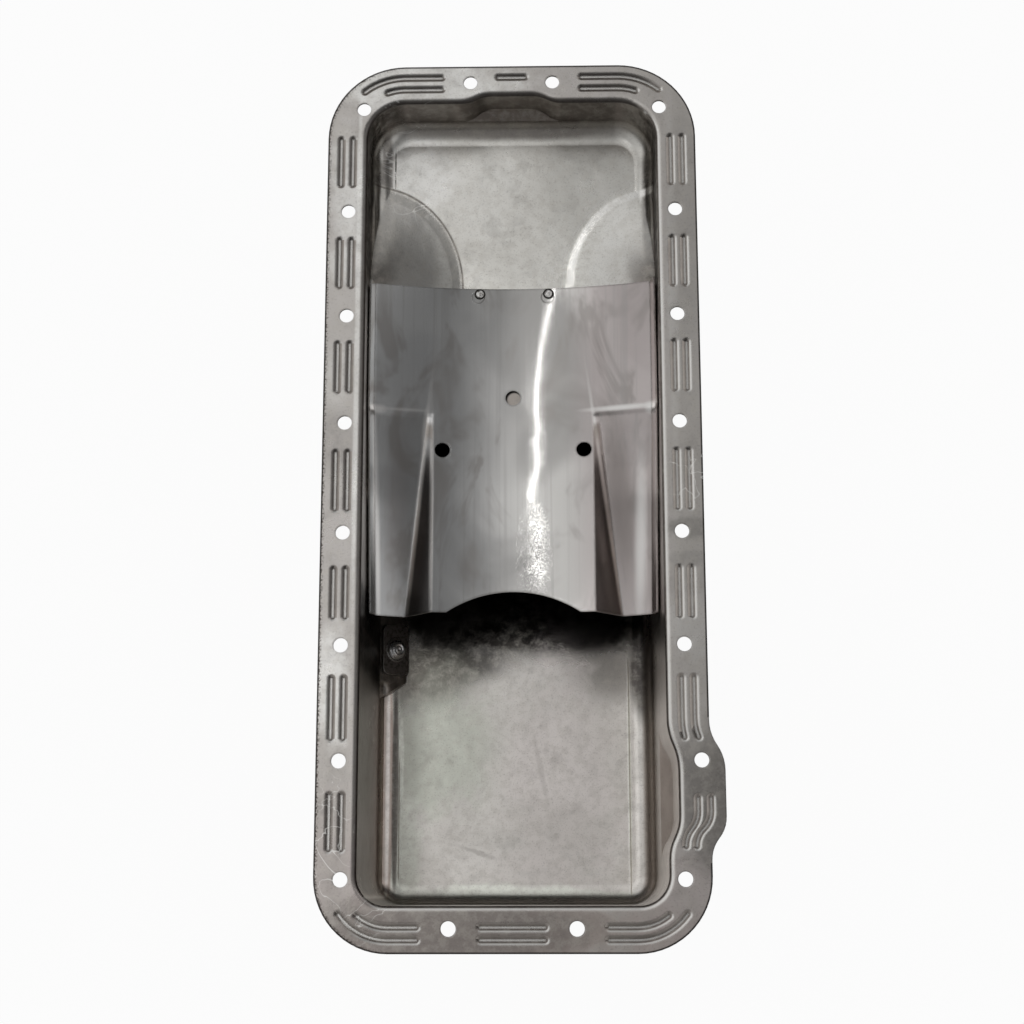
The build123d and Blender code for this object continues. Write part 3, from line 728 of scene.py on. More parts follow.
    def build(self) -> bpy.types.Material:
        """Returns the finished material."""
        mix = Recipe(self.name, self.wall)
        edges = mix.soften(self.edge_radius, 2)
        mix.masks = self.regions(mix)
        reach, inside = self.pad_reach(mix), self.rim(mix)
        mix.paint(self.front_floor, mix.masks[Region.FRONT])
        mix.paint(self.sump_floor, mix.masks[Region.SUMP])
        mix.paint(self.rail, mix.masks[Region.RAIL])
        black_shade = self.stain_and_shade(mix)
        self.paint_pad_light(mix, reach)
        self.dull(mix, inside)
        self.paint_bead_light(mix)
        # Painted shade: a dark line along the rail's outer edge.
        rim = mix.step(inside, *self.rim_line)
        mix.paint(self.edge_shade, rim, mix.masks[Region.RAIL], self.rim_amount)
        self.paint_baffle_shadow(mix)
        self.highlight_and_scratch(mix, edges)
        mix.metal(self.roughness(mix, black_shade, reach))
        mix.bump(self.relief(mix))
        for dents in self.dents:
            mix.bump(mix.noise(dents.pattern), dents.strength, dents.depth)
        return mix.material

    def regions(self, mix: Recipe) -> dict[Region, Socket]:
        """Makes the mask of each region, which covers the sheet's inner side only.

        Args:
            mix: The material's recipe.

        Returns:
            Each region with its mask.
        """
        up = mix.axes[Axis.UP]
        rail = mix.step(up, *self.rail_fade)
        sump = mix.step(up, *(self.sump_z + height for height in self.sump_fade))
        low = mix.step(up, *(self.front_z + height for height in self.front_fade))
        front = mix.times(low, mix.step(mix.axes[Axis.ALONG], *self.front_start))
        walls = mix.outside(mix.most(sump, front, rail))
        masks = {Region.RAIL: rail, Region.SUMP: sump, Region.FRONT: front, Region.WALLS: walls}
        inner = self.inner_side(mix)
        return {region: mix.times(mask, inner) for region, mask in masks.items()}

    def inner_side(self, mix: Recipe) -> Socket:
        """Tells the sheet's inner side, which faces up or towards the middle, from its outer side.

        Args:
            mix: The material's recipe.

        Returns:
            1 on the inner side and 0 on the outer side.
        """
        across = mix.times(mix.facing(Axis.ACROSS), mix.axes[Axis.ACROSS])
        behind = mix.math("SUBTRACT", mix.axes[Axis.ALONG], self.wall_middle)
        along = mix.times(mix.facing(Axis.ALONG), behind)
        inward = mix.math("MULTIPLY_ADD", mix.facing(Axis.UP), self.up_share, mix.times(across, -1.0))
        return mix.step(mix.math("SUBTRACT", inward, along), *self.side_fade)

    def rim(self, mix: Recipe) -> Socket:
        """Measures how far a point lies inside the rail's outer edge; the bump counts as far inside.

        Args:
            mix: The material's recipe.

        Returns:
            The distance.
        """
        ahead = mix.step(mix.axes[Axis.ALONG], *self.corner_change)
        front = mix.rim_distance(self.rail_centre, self.rail_half, self.front_corner)
        rear = mix.rim_distance(self.rail_centre, self.rail_half, self.rear_corner)
        inside = mix.plus(mix.times(front, ahead), mix.times(rear, mix.outside(ahead)))
        beside = mix.step(mix.axes[Axis.ACROSS], *self.bump_side)
        return mix.plus(inside, mix.times(mix.within(Axis.ALONG, self.bump_span, self.bump_soft), beside))

    def pad_reach(self, mix: Recipe) -> Socket:
        """Measures how far out a point lies on either side pad, where 1 is the pad's edge.

        Args:
            mix: The material's recipe.

        Returns:
            The distance as a share of the pad's size.
        """
        places = (mix.math("ABSOLUTE", mix.axes[Axis.ACROSS]), mix.axes[Axis.ALONG])
        squares = []
        for place, middle, half in zip(places, self.pad_centre, self.pad_half):
            share = mix.math("DIVIDE", mix.math("SUBTRACT", place, middle), half)
            squares.append(mix.times(share, share))
        return mix.math("SQRT", mix.plus(*squares))

    def stain_and_shade(self, mix: Recipe) -> Socket:
        """Lays the patches over the regions, with outlines that follow the mottling: stains, worn areas,
        painted shade and painted highlights.

        Args:
            mix: The material's recipe.

        Returns:
            The mask of the black painted shade.
        """
        wide, reach = self.outline_waves
        clouds = mix.math("SUBTRACT", mix.noise(self.clouds), 0.5)
        wander = mix.math("MULTIPLY_ADD", clouds, wide, mix.math("SUBTRACT", mix.noise(self.blotches), 0.5))
        shade_masks = []
        for patch in self.patches:
            stray = mix.times(wander, patch.stray * reach) if patch.stray else 0.0
            mask = mix.times(mix.spot(patch, stray), mix.masks[patch.region], patch.amount)
            mix.paint(patch.tone, mask)
            if patch.tone == SHADE_BLACK:
                shade_masks.append(mask)
        return mix.most(*shade_masks)

    def paint_pad_light(self, mix: Recipe, reach: Socket) -> None:
        """Paints light and shade round each side pad's edge: painted shade on the left pad, a painted
        highlight on the right one.

        Args:
            mix: The material's recipe.
            reach: The distance from the pad's middle, as a share of its size.
        """
        left = mix.step(mix.axes[Axis.ACROSS], *self.left_side)
        right = mix.outside(left)
        for line in self.pad_light_lines:
            band = mix.step(mix.away(reach, line.reach), *line.fade)
            side = left if line.on_left else right
            mix.paint(line.tone, band, mix.masks[Region.FRONT], side, line.amount)

    def dull(self, mix: Recipe, inside: Socket) -> None:
        """Dulls the metal: painted shade in the bead grooves, rusty bands down the walls, mottling, dirt and
        specks.

        Args:
            mix: The material's recipe.
            inside: The distance from the rail's outer edge.
        """
        up, rail = mix.axes[Axis.UP], mix.masks[Region.RAIL]
        # Painted shade in the bead grooves.
        mix.paint(self.bead_shade, mix.step(up, *self.bead_side), rail, self.bead_amount)
        skin = mix.step(up, *reversed(self.rail_fade))
        for region in (Region.FRONT, Region.SUMP):
            skin = mix.math("SUBTRACT", skin, mix.masks[region], clamp=True)
        mix.paint(RUSTY, mix.layer(self.wall_bands), skin)
        for layer in self.mottling:
            mix.paint(self.mottle, mix.layer(layer))
        left = mix.step(mix.axes[Axis.ACROSS], *self.grit_side)
        edge = mix.times(mix.step(inside, *self.rim_grit), left, rail)
        specks = mix.plus(mix.layer(self.specks), mix.times(edge, mix.layer(self.rim_specks)))
        mix.paint(self.speck, mix.math("ADD", mix.layer(self.dirt), specks, clamp=True))

    def paint_bead_light(self, mix: Recipe) -> None:
        """Paints light and shade on the rail by which way its rounded surface leans, which shows most at the
        beads: painted shade where it leans one way, a painted highlight along top edges that lean the other
        way and along each groove's bottom.

        Args:
            mix: The material's recipe.
        """
        up, rail = mix.axes[Axis.UP], mix.masks[Region.RAIL]
        lean = mix.math("SUBTRACT", mix.leans[Axis.ALONG], mix.leans[Axis.ACROSS])
        top, bottom = mix.step(up, *self.bead_top), mix.step(up, *self.bead_bottom)
        shade, halo = mix.step(lean, *self.shade_lean), mix.step(lean, *self.halo_lean)
        groove = mix.step(mix.away(lean, self.groove_lean), *self.groove_fade)
        # Painted shade, a painted highlight on the top edges and one along each groove's bottom.
        mix.paint(self.edge_shade, shade, rail, self.shade_amount)
        mix.paint(BARE_AND_HIGHLIGHT, halo, top, rail, self.halo_amount)
        mix.paint(BARE_AND_HIGHLIGHT, groove, bottom, rail, self.groove_amount)

    def paint_baffle_shadow(self, mix: Recipe) -> None:
        """Paints the baffle's shadow black on the sheet below it, apart from what its front hole shows.

        Args:
            mix: The material's recipe.
        """
        hidden = mix.times(mix.spot(self.baffle_shadow), mix.masks[Region.WALLS])
        seen = mix.spot(self.seen_through_hole)
        # Painted shadow, black.
        mix.paint(BLACK, hidden, mix.outside(seen), self.baffle_shadow_amount)

    def highlight_and_scratch(self, mix: Recipe, edges: Socket) -> None:
        """Paints highlights along the edges of the drain's facet and draws hair scratches on handled areas.

        Args:
            mix: The material's recipe.
            edges: How far the rounded surface leans away from the flat one.
        """
        drain = mix.times(mix.spot(self.drain), mix.step(mix.axes[Axis.UP], *self.drain_fade))
        # Painted highlights along the drain facet's edges.
        mix.paint(BARE_AND_HIGHLIGHT, mix.step(edges, *self.drain_edge_highlight), drain)
        hair = mix.times(mix.scratches(self.hair, self.hair_width), mix.outside(mix.masks[Region.WALLS]))
        worn = mix.most(*(mix.spot(spot) for spot in self.scratched))
        mix.paint(BARE_AND_HIGHLIGHT, hair, worn, self.hair_amount)

    def roughness(self, mix: Recipe, black_shade: Socket, reach: Socket) -> Socket:
        """Makes the sheet smoother where the black painted shade lies and on the polished pads.

        Args:
            mix: The material's recipe.
            black_shade: The mask of the black painted shade.
            reach: The distance from the pad's middle, as a share of its size.

        Returns:
            The roughness.
        """
        pads = mix.times(mix.step(reach, *self.pad_polish), mix.masks[Region.FRONT])
        clouds, blotches = mix.noise(self.clouds), mix.noise(self.blotches)
        sump = mix.masks[Region.SUMP]
        parts = ((clouds, 0.16), (sump, 0.02), (blotches, 0.14), (black_shade, -0.14), (pads, -0.12))
        return mix.most(mix.graded(self.base_rough, *parts), self.least_rough)

    def relief(self, mix: Recipe) -> Socket:
        """Makes the die lines and the flattened bend that catch the light low in the sump.

        Args:
            mix: The material's recipe.

        Returns:
            Their height in metres.
        """
        across, up = mix.axes[Axis.ACROSS], mix.axes[Axis.UP]
        low = mix.step(up, *self.ridge_fade)
        crests = []
        for ridge in self.ridges:
            crest = mix.step(mix.away(across, ridge.across), ridge.half, 0.0)
            span = mix.within(Axis.ALONG, ridge.span, self.ridge_soft)
            crests.append(mix.times(crest, span, ridge.height, low))
        depth = mix.most(mix.math("SUBTRACT", self.flat_from, across), 0.0)
        depth = mix.math("MINIMUM", depth, self.flat_width)
        flat = mix.times(mix.math("POWER", depth, 3.0), -self.flat_rate)
        span = mix.within(Axis.ALONG, self.flat_span, self.flat_soft)
        return mix.plus(*crests, mix.times(flat, mix.times(span, mix.step(up, *self.flat_fade))))


@dataclass(frozen=True)
class RolledSteel:
    """Bare rolled sheet steel with faint mill lines, smoother than the pan."""

    name: str = "rolled_steel"
    metal: Colour = (0.72, 0.705, 0.68)
    dull: Colour = (0.44, 0.43, 0.415)
    smear: Colour = (0.36, 0.335, 0.315)
    # Painted shade, bluish, on the baffle's left side.
    bluish_left_shade: Colour = (0.58, 0.59, 0.60)
    pink: Colour = (0.62, 0.55, 0.54)
    # Painted highlight along the folds.
    fold_highlight: Colour = (0.95, 0.93, 0.91)
    # Painted shade in the channels.
    stain_and_shade: Colour = (0.36, 0.32, 0.305)
    fold_shade: Colour = (0.075, 0.066, 0.062)
    # Painted shade on the underside.
    underside_shade: Colour = (0.03, 0.027, 0.025)
    base_rough: float = 0.035
    edge_radius: float = 0.0020

    left_shade_side: Pair = (0.020, -0.060)
    left_shade_amount: float = 0.65
    pink_side: Pair = (0.030, 0.060)
    pink_amount: float = 0.70
    steep_lean: Pair = (0.52, 0.66)
    steep_amount: float = 0.85
    channel_side: Pair = (0.076, 0.073)
    rough_side: Pair = (0.030, 0.060)
    under_fade: Pair = (-0.30, 0.10)

    clouds: Grain = Grain(11.0, warp=0.8, seed=8.0)
    smudges: Grain = Grain(lay=Lay.SMEARED, rough=0.6, warp=1.2, seed=4.0)
    waves: Grain = Grain(9.0, detail=0.0, seed=15.0)
    lines: Grain = Grain(lay=Lay.ALONG_THE_MILL, detail=2.0, seed=2.0)
    dulling: Layer = Layer(clouds, 0.40, 0.66)
    smearing: Layer = Layer(smudges, 0.48, 0.66, 0.60)
    lining: Layer = Layer(lines, 0.50, 0.75, 0.35)
    dents: tuple[Dents, ...] = (Dents(waves, 1.0, 0.0006), Dents(lines, 0.08, 0.00012))
    scuffs: Grain = Grain(300.0, detail=2.0, rough=0.55, warp=0.5, seed=21.0)
    scuff_width: float = 0.12
    scuff_depth: float = 0.00006
    scuffed: Spot = Spot((0.0130, -0.0790), (0.0090, 0.0260), 1.2)

    # The trough's set to one side along its length, 0.5 for none, which bends what it reflects.
    trough_span: Pair = (-0.115, 0.102)
    trough_set: Pairs = (
        (0.0, 0.50), (0.22, 0.50), (0.30, 0.47), (0.36, 0.40), (0.44, 0.53),
        (0.56, 0.52), (0.68, 0.50), (0.82, 0.58), (0.93, 0.72), (1.0, 0.84),
    )
    trough_lean: float = -0.12
    trough_radius: float = 0.296
    # Painted highlights along the folds.
    fold_highlights: tuple[FoldLine, ...] = (
        FoldLine((0.0710, 0.0180), (0.0190, 0.0016), 1.0, 1.0),
        FoldLine((0.0890, 0.0170), (0.0030, 0.0030), 1.0),
        FoldLine((-0.0870, 0.0172), (0.0040, 0.0022), 0.95),
        FoldLine((-0.0720, 0.0174), (0.0150, 0.0011), 0.40),
        FoldLine((-0.0570, 0.0070), (0.0018, 0.0100), 0.95, -6.2),
        FoldLine((-0.0880, -0.0600), (0.0014, 0.0560), 0.85, 0.8),
        FoldLine((0.0820, -0.0680), (0.0030, 0.0440), 0.80, -1.0),
        FoldLine((-0.0626, -0.0490), (0.0016, 0.0620), 1.0, -6.2),
        FoldLine((-0.0528, -0.0560), (0.0013, 0.0600), 1.0),
        FoldLine((0.0612, -0.0487), (0.0013, 0.0620), 1.0, 8.0),
    )
    # Painted shade in the channels.
    channel_shades: tuple[FoldLine, ...] = (
        FoldLine((0.0700, -0.0420), (0.0085, 0.0520), 0.80, 6.0, 1.4),
        FoldLine((0.0885, -0.0600), (0.0022, 0.0560), 0.60, 0.0, 1.4),
        FoldLine((-0.0750, -0.0450), (0.0070, 0.0500), 0.35, -3.0, 1.4),
    )
    weld_marks: Pairs = ((-0.023, 0.096), (0.023, 0.096))
    weld_radius: float = 0.0042

    def build(self) -> bpy.types.Material:
        """Returns the finished material."""
        mix = Recipe(self.name, self.metal)
        mix.soften(self.edge_radius, 1)
        across = mix.axes[Axis.ACROSS]
        mix.paint(self.dull, mix.layer(self.dulling))
        # Painted shade, bluish, on the baffle's left side.
        mix.paint(self.bluish_left_shade, mix.step(across, *self.left_shade_side), self.left_shade_amount)
        mix.paint(self.pink, mix.step(across, *self.pink_side), self.pink_amount)
        mix.paint(self.smear, mix.layer(self.smearing))
        mix.paint(self.dull, mix.layer(self.lining))
        # Painted shade in the channels.
        for stain_and_shade in self.channel_shades:
            mix.paint(self.stain_and_shade, mix.spot(stain_and_shade), stain_and_shade.amount)
        steep = mix.step(mix.math("ABSOLUTE", mix.leans[Axis.ACROSS]), *self.steep_lean)
        channel = mix.step(mix.math("ABSOLUTE", across), *self.channel_side)
        mix.paint(self.fold_shade, steep, channel, self.steep_amount)
        # Painted highlights along the folds.
        for fold in self.fold_highlights:
            mix.paint(self.fold_highlight, mix.spot(fold), fold.amount)
        # Painted shade: the underside is near black.
        mix.colour = mix.cover(self.underside_shade, mix.colour, mix.step(mix.facing(Axis.UP), *self.under_fade))
        beside = mix.step(mix.math("ABSOLUTE", across), *self.rough_side)
        parts = ((mix.noise(self.clouds), 0.04), (mix.noise(self.lines), 0.03), (beside, 0.12))
        mix.metal(mix.graded(self.base_rough, *parts))
        mix.bump(self.bend_trough(mix))
        mix.bump(self.slope_welds(mix))
        for dents in self.dents:
            mix.bump(mix.noise(dents.pattern), dents.strength, dents.depth)
        scuffs = mix.times(mix.scratches(self.scuffs, self.scuff_width), mix.spot(self.scuffed))
        mix.bump(scuffs, 0.9, self.scuff_depth)
        return mix.material

    def bend_trough(self, mix: Recipe) -> Socket:
        """Sets the trough slightly to one side, more or less along its length.

        Args:
            mix: The material's recipe.

        Returns:
            The height to add, in metres.
        """
        low, high = self.trough_span
        place = mix.math("MULTIPLY_ADD", mix.axes[Axis.ALONG], 1 / (high - low), -low / (high - low))
        lean = mix.math("SUBTRACT", mix.ramp(place, self.trough_set), 0.5)
        return mix.times(lean, mix.axes[Axis.ACROSS], self.trough_lean)

    def slope_welds(self, mix: Recipe) -> Socket:
        """Gives the flat top of each weld the slope of the trough.

        Args:
            mix: The material's recipe.

        Returns:
            The height to add, in metres.
        """
        across = mix.axes[Axis.ACROSS]
        bowl = mix.times(across, across, 0.5 / self.trough_radius)
        parts = []
        for x, y in self.weld_marks:
            rise = mix.math("SUBTRACT", bowl, x * x * 0.5 / self.trough_radius)
            mark = Spot((x, y), (self.weld_radius, self.weld_radius), 0.04)
            parts.append(mix.times(rise, mix.spot(mark)))
        return mix.plus(*parts)


@dataclass(frozen=True)
class SmallSteel:
    """Machined or pressed steel of the small drain pieces and welds."""

    name: str
    metal: Colour
    dull: Colour
    rough: float
    edge_radius: float = 0.0007
    marks: Grain = Grain(420.0, detail=4.0, seed=1.0)
    mark_depth: float = 0.0003
    dulling: Pair = (0.45, 0.65)
    edge_highlight: Pair = (0.03, 0.25)

    def build(self) -> bpy.types.Material:
        """Returns the finished material."""
        mix = Recipe(self.name, self.metal)
        edges = mix.soften(self.edge_radius, 2)
        marks = mix.noise(self.marks)
        mix.paint(self.dull, mix.step(marks, *self.dulling))
        # Painted highlights along the edges.
        mix.paint(BARE_AND_HIGHLIGHT, mix.step(edges, *self.edge_highlight))
        mix.set("Base Color", mix.colour)
        mix.set("Metallic", 1.0)
        mix.set("Roughness", mix.graded(self.rough, (marks, 0.2)))
        mix.bump(marks, 0.15, self.mark_depth)
        return mix.material


@dataclass(frozen=True)
class BlackRubber:
    """Dull moulded rubber."""

    name: str = "black_rubber"
    colour: Colour = (0.025, 0.025, 0.025)
    grey: Colour = (0.06, 0.058, 0.055)
    rough: float = 0.55
    dust: Grain = Grain(300.0, detail=4.0)
    dust_depth: float = 0.0003
    dusting: Pair = (0.5, 0.75)

    def build(self) -> bpy.types.Material:
        """Returns the finished material."""
        mix = Recipe(self.name, self.colour)
        dust = mix.noise(self.dust)
        mix.paint(self.grey, mix.step(dust, *self.dusting))
        mix.set("Base Color", mix.colour)
        mix.set("Roughness", mix.graded(self.rough, (dust, 0.2)))
        mix.bump(dust, 0.2, self.dust_depth)
        return mix.material


# ---- The pan's pieces ----------------------------------------------------------------------------


def refinish(node: str, material: bpy.types.Material) -> None:
    """Gives a carried-over solid its finish.

    Args:
        node: The solid's name.
        material: The finish.
    """
    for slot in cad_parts[node].material_slots:
        slot.material = material
    LOG.info("%s wears %s", node, material.name)


def make_piece(name: str, shell: bmesh.types.BMesh, material: bpy.types.Material, body: str) -> None:
    """Turns a finished shell into a piece of the pan.

    Args:
        name: The piece's name.
        shell: Its surface, which is freed.
        material: Its finish.
        body: The body that it rides on.
    """
    mesh = bpy.data.meshes.new(name)
    shell.to_mesh(mesh)
    shell.free()
    mesh.materials.append(material)
    piece = bpy.data.objects.new(name, mesh)
    bpy.context.scene.collection.objects.link(piece)
    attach(piece, body)
    LOG.info("%s rides on %s", name, body)


def turn_profile(profile: Pairs, place: Vector, axis: Vector, segments: int = 48) -> bmesh.types.BMesh:
    """Turns a profile round an axis into a smooth shell.

    Args:
        profile: Radius and height of each point, from the middle outwards.
        place: Where height zero lies.
        axis: The direction of height.
        segments: How many steps go round.

    Returns:
        The shell.
    """
    turn = axis.to_track_quat("Z", "X").to_matrix()
    angles = [2 * math.pi * step / segments for step in range(segments)]
    shell = bmesh.new()
    rings = []
    for radius, height in profile:
        points = [Vector((radius * math.cos(a), radius * math.sin(a), height)) for a in angles]
        if radius <= 0:
            points = points[:1]
        rings.append([shell.verts.new(place + turn @ point) for point in points])
    for inner, outer in zip(rings, rings[1:]):
        for step in range(segments):
            after = (step + 1) % segments
            corners = [inner[step % len(inner)], outer[step], outer[after]]
            if len(inner) > 1:
                corners.append(inner[after])
            shell.faces.new(corners).smooth = True
    return shell


@dataclass
class Pan:
    """The pressed pan with its rail, walls and floors."""

    finish: DrawnSteel = field(default_factory=DrawnSteel)

    def dress(self) -> None:
        """Gives the pan its bare steel."""
        refinish("pan_body", self.finish.build())


@dataclass
class Baffle:
    """The pressed windage baffle over the sump, held at its front edge by two spot welds."""

    finish: RolledSteel = field(default_factory=RolledSteel)
    weld_metal: SmallSteel = SmallSteel("weld_metal", (0.80, 0.79, 0.77), (0.30, 0.27, 0.24), 0.16)
    burn: SmallSteel = SmallSteel("weld_burn", (0.035, 0.032, 0.030), (0.015, 0.013, 0.012), 0.35)
    weld_places: Pairs = ((-0.0218, 0.0982), (0.0235, 0.0982))
    weld_height: float = -0.0409
    weld_profile: Pairs = (
        (0.0, 0.00030), (0.00055, 0.00034), (0.00095, 0.00028), (0.00135, 0.00008),
        (0.00165, 0.00003), (0.00195, 0.00010), (0.00235, 0.00036), (0.00270, 0.00044),
        (0.00300, 0.00036), (0.00325, 0.00008), (0.00340, -0.00060),
    )
    burn_profile: Pairs = (
        (0.00225, -0.00030), (0.00245, 0.00048), (0.00300, 0.00056), (0.00355, 0.00040), (0.00375, -0.00060),
    )

    def dress(self) -> None:
        """Gives the baffle its bare steel and adds its spot welds, each with a burnt ring."""
        refinish("windage_baffle", self.finish.build())
        metal, burn = self.weld_metal.build(), self.burn.build()
        for side, (x, y) in zip(("left", "right"), self.weld_places):
            axis = Vector((-x / self.finish.trough_radius, 0.0, 1.0)).normalized()
            place = Vector((x, y, self.weld_height))
            make_piece(f"weld_{side}", turn_profile(self.weld_profile, place, axis), metal, "pan")
            make_piece(f"weld_burn_{side}", turn_profile(self.burn_profile, place, axis), burn, "pan")


@dataclass
class Drain:
    """The drain's plate, gasket and plug."""

    # The plate's near-black metal colour is painted shade.
    plate: SmallSteel = SmallSteel(
        "plate_steel_bare", (0.17, 0.155, 0.145), (0.09, 0.08, 0.07), 0.30, edge_radius=0.0011
    )
    plug: SmallSteel = SmallSteel("plug_steel_plated", (0.90, 0.90, 0.90), (0.60, 0.60, 0.60), 0.18)
    gasket: BlackRubber = BlackRubber()
    axis: Point = (0.64278761, 0.0, 0.766044443)
    tip_depth: float = 0.00005
    tip_profile: Pairs = (
        (0.0, -0.00020), (0.00060, -0.00010), (0.00130, 0.00035), (0.00170, 0.00040),
        (0.00230, 0.00012), (0.00320, 0.00010), (0.00360, 0.00040), (0.00400, 0.00046),
        (0.00440, 0.00030), (0.00480, -0.00010),
    )
    thread_radius: float = 0.0063
    thread_root: float = -0.0004
    thread_height: float = 0.00040
    thread_pitch: float = 0.00127
    thread_foot: float = 0.42
    thread_span: Pair = (-0.0024, -0.0009)
    thread_segments: int = 64
    thread_run_out: int = 8

    def tip(self) -> Vector:
        """Returns the middle of the plug's inner end, the face within tip_depth of its furthest point."""
        axis = Vector(self.axis)
        points = [vertex.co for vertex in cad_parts["drain_plug"].data.vertices]
        reach = max(point.dot(axis) for point in points)
        ends = [point for point in points if point.dot(axis) > reach - self.tip_depth]
        low = Vector(min(point[i] for point in ends) for i in range(3))
        high = Vector(max(point[i] for point in ends) for i in range(3))
        return (low + high) / 2

    def thread(self, tip: Vector) -> bmesh.types.BMesh:
        """Makes the thread's last turn, which stands inside the pan and runs out at both ends.

        Args:
            tip: The middle of the plug's inner end.

        Returns:
            The thread's shell.
        """
        turn = Vector(self.axis).to_track_quat("Z", "X").to_matrix()
        low, high = self.thread_span
        steps = round(self.thread_segments * (high - low) / self.thread_pitch)
        foot = self.thread_pitch * self.thread_foot
        shell = bmesh.new()
        rows = []
        for step in range(steps + 1):
            angle = 2 * math.pi * step / self.thread_segments
            height = low + self.thread_pitch * step / self.thread_segments
            crest = self.thread_height * min(1.0, min(step, steps - step) / self.thread_run_out)
            row = []
            for out, rise in ((self.thread_root, -foot), (crest, 0.0), (self.thread_root, foot)):
                radius = self.thread_radius + out
                point = Vector((radius * math.cos(angle), radius * math.sin(angle), height + rise))
                row.append(shell.verts.new(tip + turn @ point))
            rows.append(row)
        for row, after in zip(rows, rows[1:]):
            for i in range(len(row) - 1):
                shell.faces.new((row[i], after[i], after[i + 1], row[i + 1]))
        return shell

    def dress(self) -> None:
        """Gives each drain piece its finish and adds the plug's turned end and thread."""
        refinish("drain_plate", self.plate.build())
        plated = self.plug.build()
        refinish("drain_plug", plated)
        refinish("drain_gasket", self.gasket.build())
        tip = self.tip()
        make_piece("plug_end", turn_profile(self.tip_profile, tip, Vector(self.axis)), plated, "plug")
        make_piece("plug_thread", self.thread(tip), plated, "plug")


# ---- Studio --------------------------------------------------------------------------------------


@dataclass
class Softbox:
    """One rectangular studio light that hangs over the pan and faces straight down."""

    name: str
    place: Pair
    width: float
    length: float
    radiance: float
    height: float = 1.9

    def build(self) -> None:
        """Makes the lamp."""
        lamp = bpy.data.lights.new(self.name, "AREA")
        lamp.shape = "RECTANGLE"
        lamp.size = self.width
        lamp.size_y = self.length
        lamp.energy = self.radiance * math.pi * self.width * self.length
        holder = bpy.data.objects.new(self.name, lamp)
        bpy.context.scene.collection.objects.link(holder)
        holder.matrix_world = Matrix.Translation((*self.place, self.height))


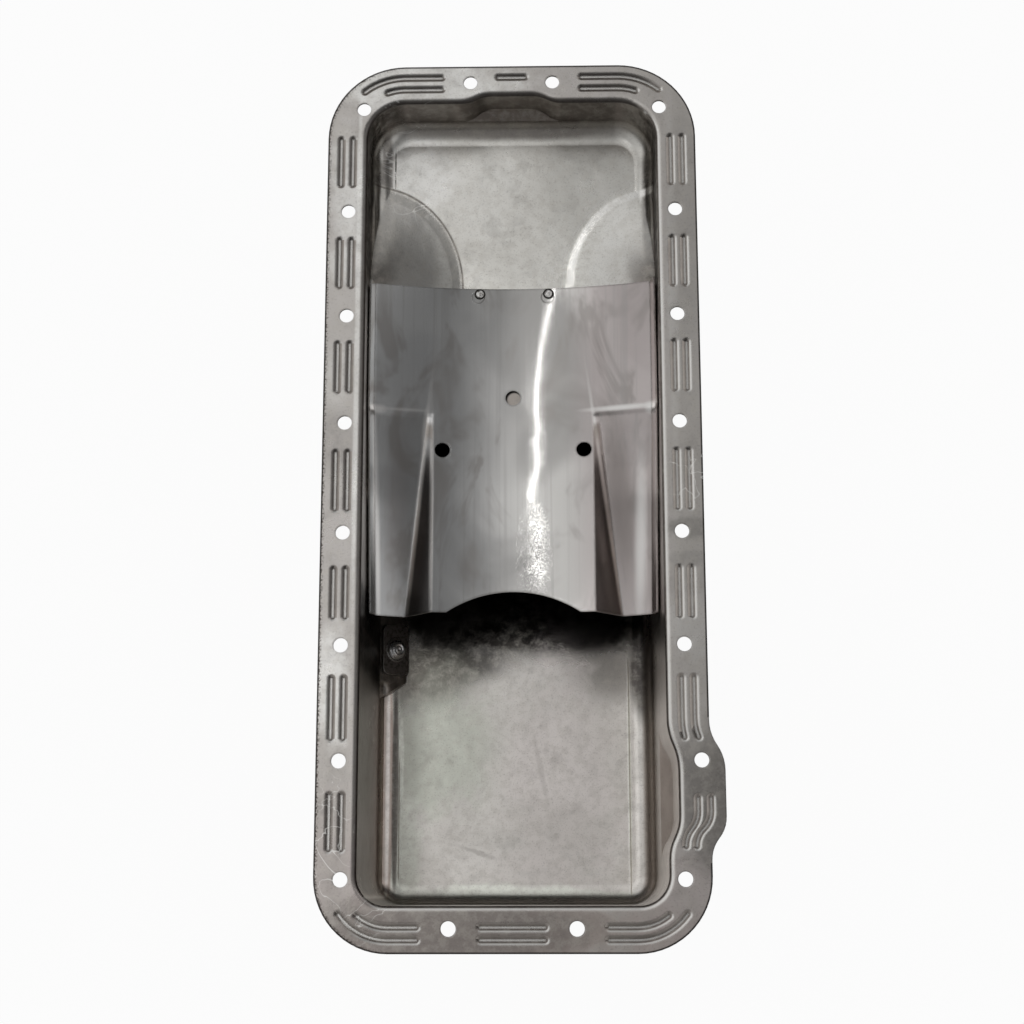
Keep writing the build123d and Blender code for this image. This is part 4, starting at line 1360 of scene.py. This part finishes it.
@dataclass
class Studio:
    """Camera, lamps, world and floor."""

    eye: Point = (0.02159, -0.29090, 1.09618)
    right: Point = (0.999799383, -0.001402975, -0.019980645)
    up: Point = (0.00552108, 0.978202502, 0.207579821)
    focal_pixels: float = 1800.0
    frame_pixels: float = 1024.0
    sensor: float = 36.0
    clip_end: float = 50.0
    floor_drop: float = 0.0003
    floor_size: float = 8.0
    floor_glow: float = 0.95
    floor_paint: Colour = (0.9, 0.9, 0.9)

    # The sky's brightness at each angle from straight up, across and along the pan, in degrees.
    sky_across: Pairs = (
        (-90.0, 0.35), (-76.0, 0.60), (-60.0, 1.60), (-46.0, 1.35), (-36.0, 0.84),
        (-24.0, 0.55), (-11.0, 0.93), (-3.0, 0.87), (1.0, 0.79), (5.0, 0.53),
        (12.0, 0.32), (22.0, 0.19), (30.0, 0.28), (38.0, 0.60), (43.0, 2.00),
        (47.0, 4.20), (57.0, 4.20), (70.0, 1.20), (80.0, 0.45), (90.0, 0.30),
    )
    sky_along: Pairs = (
        (-90.0, 0.45), (-50.0, 0.60), (-20.0, 0.62), (-4.0, 0.72), (6.0, 1.10), (18.0, 1.06),
        (26.0, 1.18), (38.0, 0.75), (48.0, 1.40), (60.0, 1.30), (72.0, 0.45), (90.0, 0.40),
    )
    horizon: Pair = (0.10, 0.02)
    lamps: tuple[Softbox, ...] = (
        Softbox("front_strip", (-0.196, 0.76), 0.012, 0.76, 8.5),
        Softbox("middle_strip", (-0.196, 0.29), 0.050, 0.13, 2.2),
        Softbox("left_strip", (-0.48, -0.13), 0.160, 0.50, 2.2),
    )

    def build_camera(self) -> None:
        """Places the camera with the same view for any frame size."""
        data = bpy.data.cameras.new("camera")
        data.sensor_width = self.sensor
        data.lens = self.sensor * self.focal_pixels / self.frame_pixels
        data.clip_end = self.clip_end
        camera = bpy.data.objects.new("camera", data)
        bpy.context.scene.collection.objects.link(camera)
        right = Vector(self.right).normalized()
        up = Vector(self.up)
        up = (up - right * up.dot(right)).normalized()
        turn = Matrix((right, up, right.cross(up))).transposed().to_4x4()
        camera.matrix_world = Matrix.Translation(Vector(self.eye)) @ turn
        bpy.context.scene.camera = camera

    def build_world(self) -> None:
        """Makes the studio's surroundings, which the metal reflects."""
        world = bpy.data.worlds.new("studio")
        bpy.context.scene.world = world
        world.use_nodes = True
        work = NodeWork(world.node_tree)
        output = work.node("ShaderNodeOutputWorld")
        ways = work.split(work.node("ShaderNodeTexCoord").outputs["Generated"])
        levels = []
        for axis, curve in ((Axis.ACROSS, self.sky_across), (Axis.ALONG, self.sky_along)):
            lean = work.math("ARCTAN2", ways[axis], ways[Axis.UP])
            turn = work.math("MULTIPLY_ADD", lean, 1 / math.pi, 0.5)
            levels.append(work.ramp(turn, tuple((degrees / 180 + 0.5, level) for degrees, level in curve)))
        below = work.step(ways[Axis.UP], *self.horizon)
        seen = work.node("ShaderNodeLightPath").outputs["Is Camera Ray"]
        sky = work.node("ShaderNodeBackground", Strength=work.most(work.times(*levels), below, seen))
        work.put(output.inputs["Surface"], sky.outputs["Background"])

    def build_floor(self) -> None:
        """Makes the white floor that the pan stands on."""
        level = CAD_BOUNDS[0][2] - self.floor_drop
        half = self.floor_size / 2
        corners = [(x * half, y * half, level) for x, y in ((-1, -1), (1, -1), (1, 1), (-1, 1))]
        mesh = bpy.data.meshes.new("floor")
        mesh.from_pydata(corners, [], [(0, 1, 2, 3)])
        floor = bpy.data.objects.new("floor", mesh)
        bpy.context.scene.collection.objects.link(floor)
        mix = Recipe("white_floor", self.floor_paint)
        mix.set("Base Color", (*self.floor_paint, 1.0))
        mix.set("Roughness", 0.9)
        path = mix.node("ShaderNodeLightPath")
        seen = mix.most(*(path.outputs[f"Is {ray} Ray"] for ray in ("Camera", "Glossy", "Transmission")))
        glow = mix.node("ShaderNodeEmission", Color=(*WHITE, 1.0))
        blend = mix.node("ShaderNodeMixShader", Fac=mix.times(seen, self.floor_glow))
        mix.put(blend.inputs[1], mix.shader.outputs["BSDF"])
        mix.put(blend.inputs[2], glow.outputs["Emission"])
        mix.put(mix.output.inputs["Surface"], blend.outputs["Shader"])
        mesh.materials.append(mix.material)

    def build(self) -> None:
        """Makes everything round the pan."""
        self.build_camera()
        self.build_world()
        self.build_floor()
        for lamp in self.lamps:
            lamp.build()
        bpy.context.scene.view_settings.view_transform = "Standard"
        LOG.info("studio with %d lamps", len(self.lamps))


def main() -> None:
    """Builds the studio and dresses every piece."""
    logging.basicConfig(level=logging.INFO)
    Studio().build()
    for group in (Pan(), Baffle(), Drain()):
        group.dress()


if __name__ == "__main__":
    main()
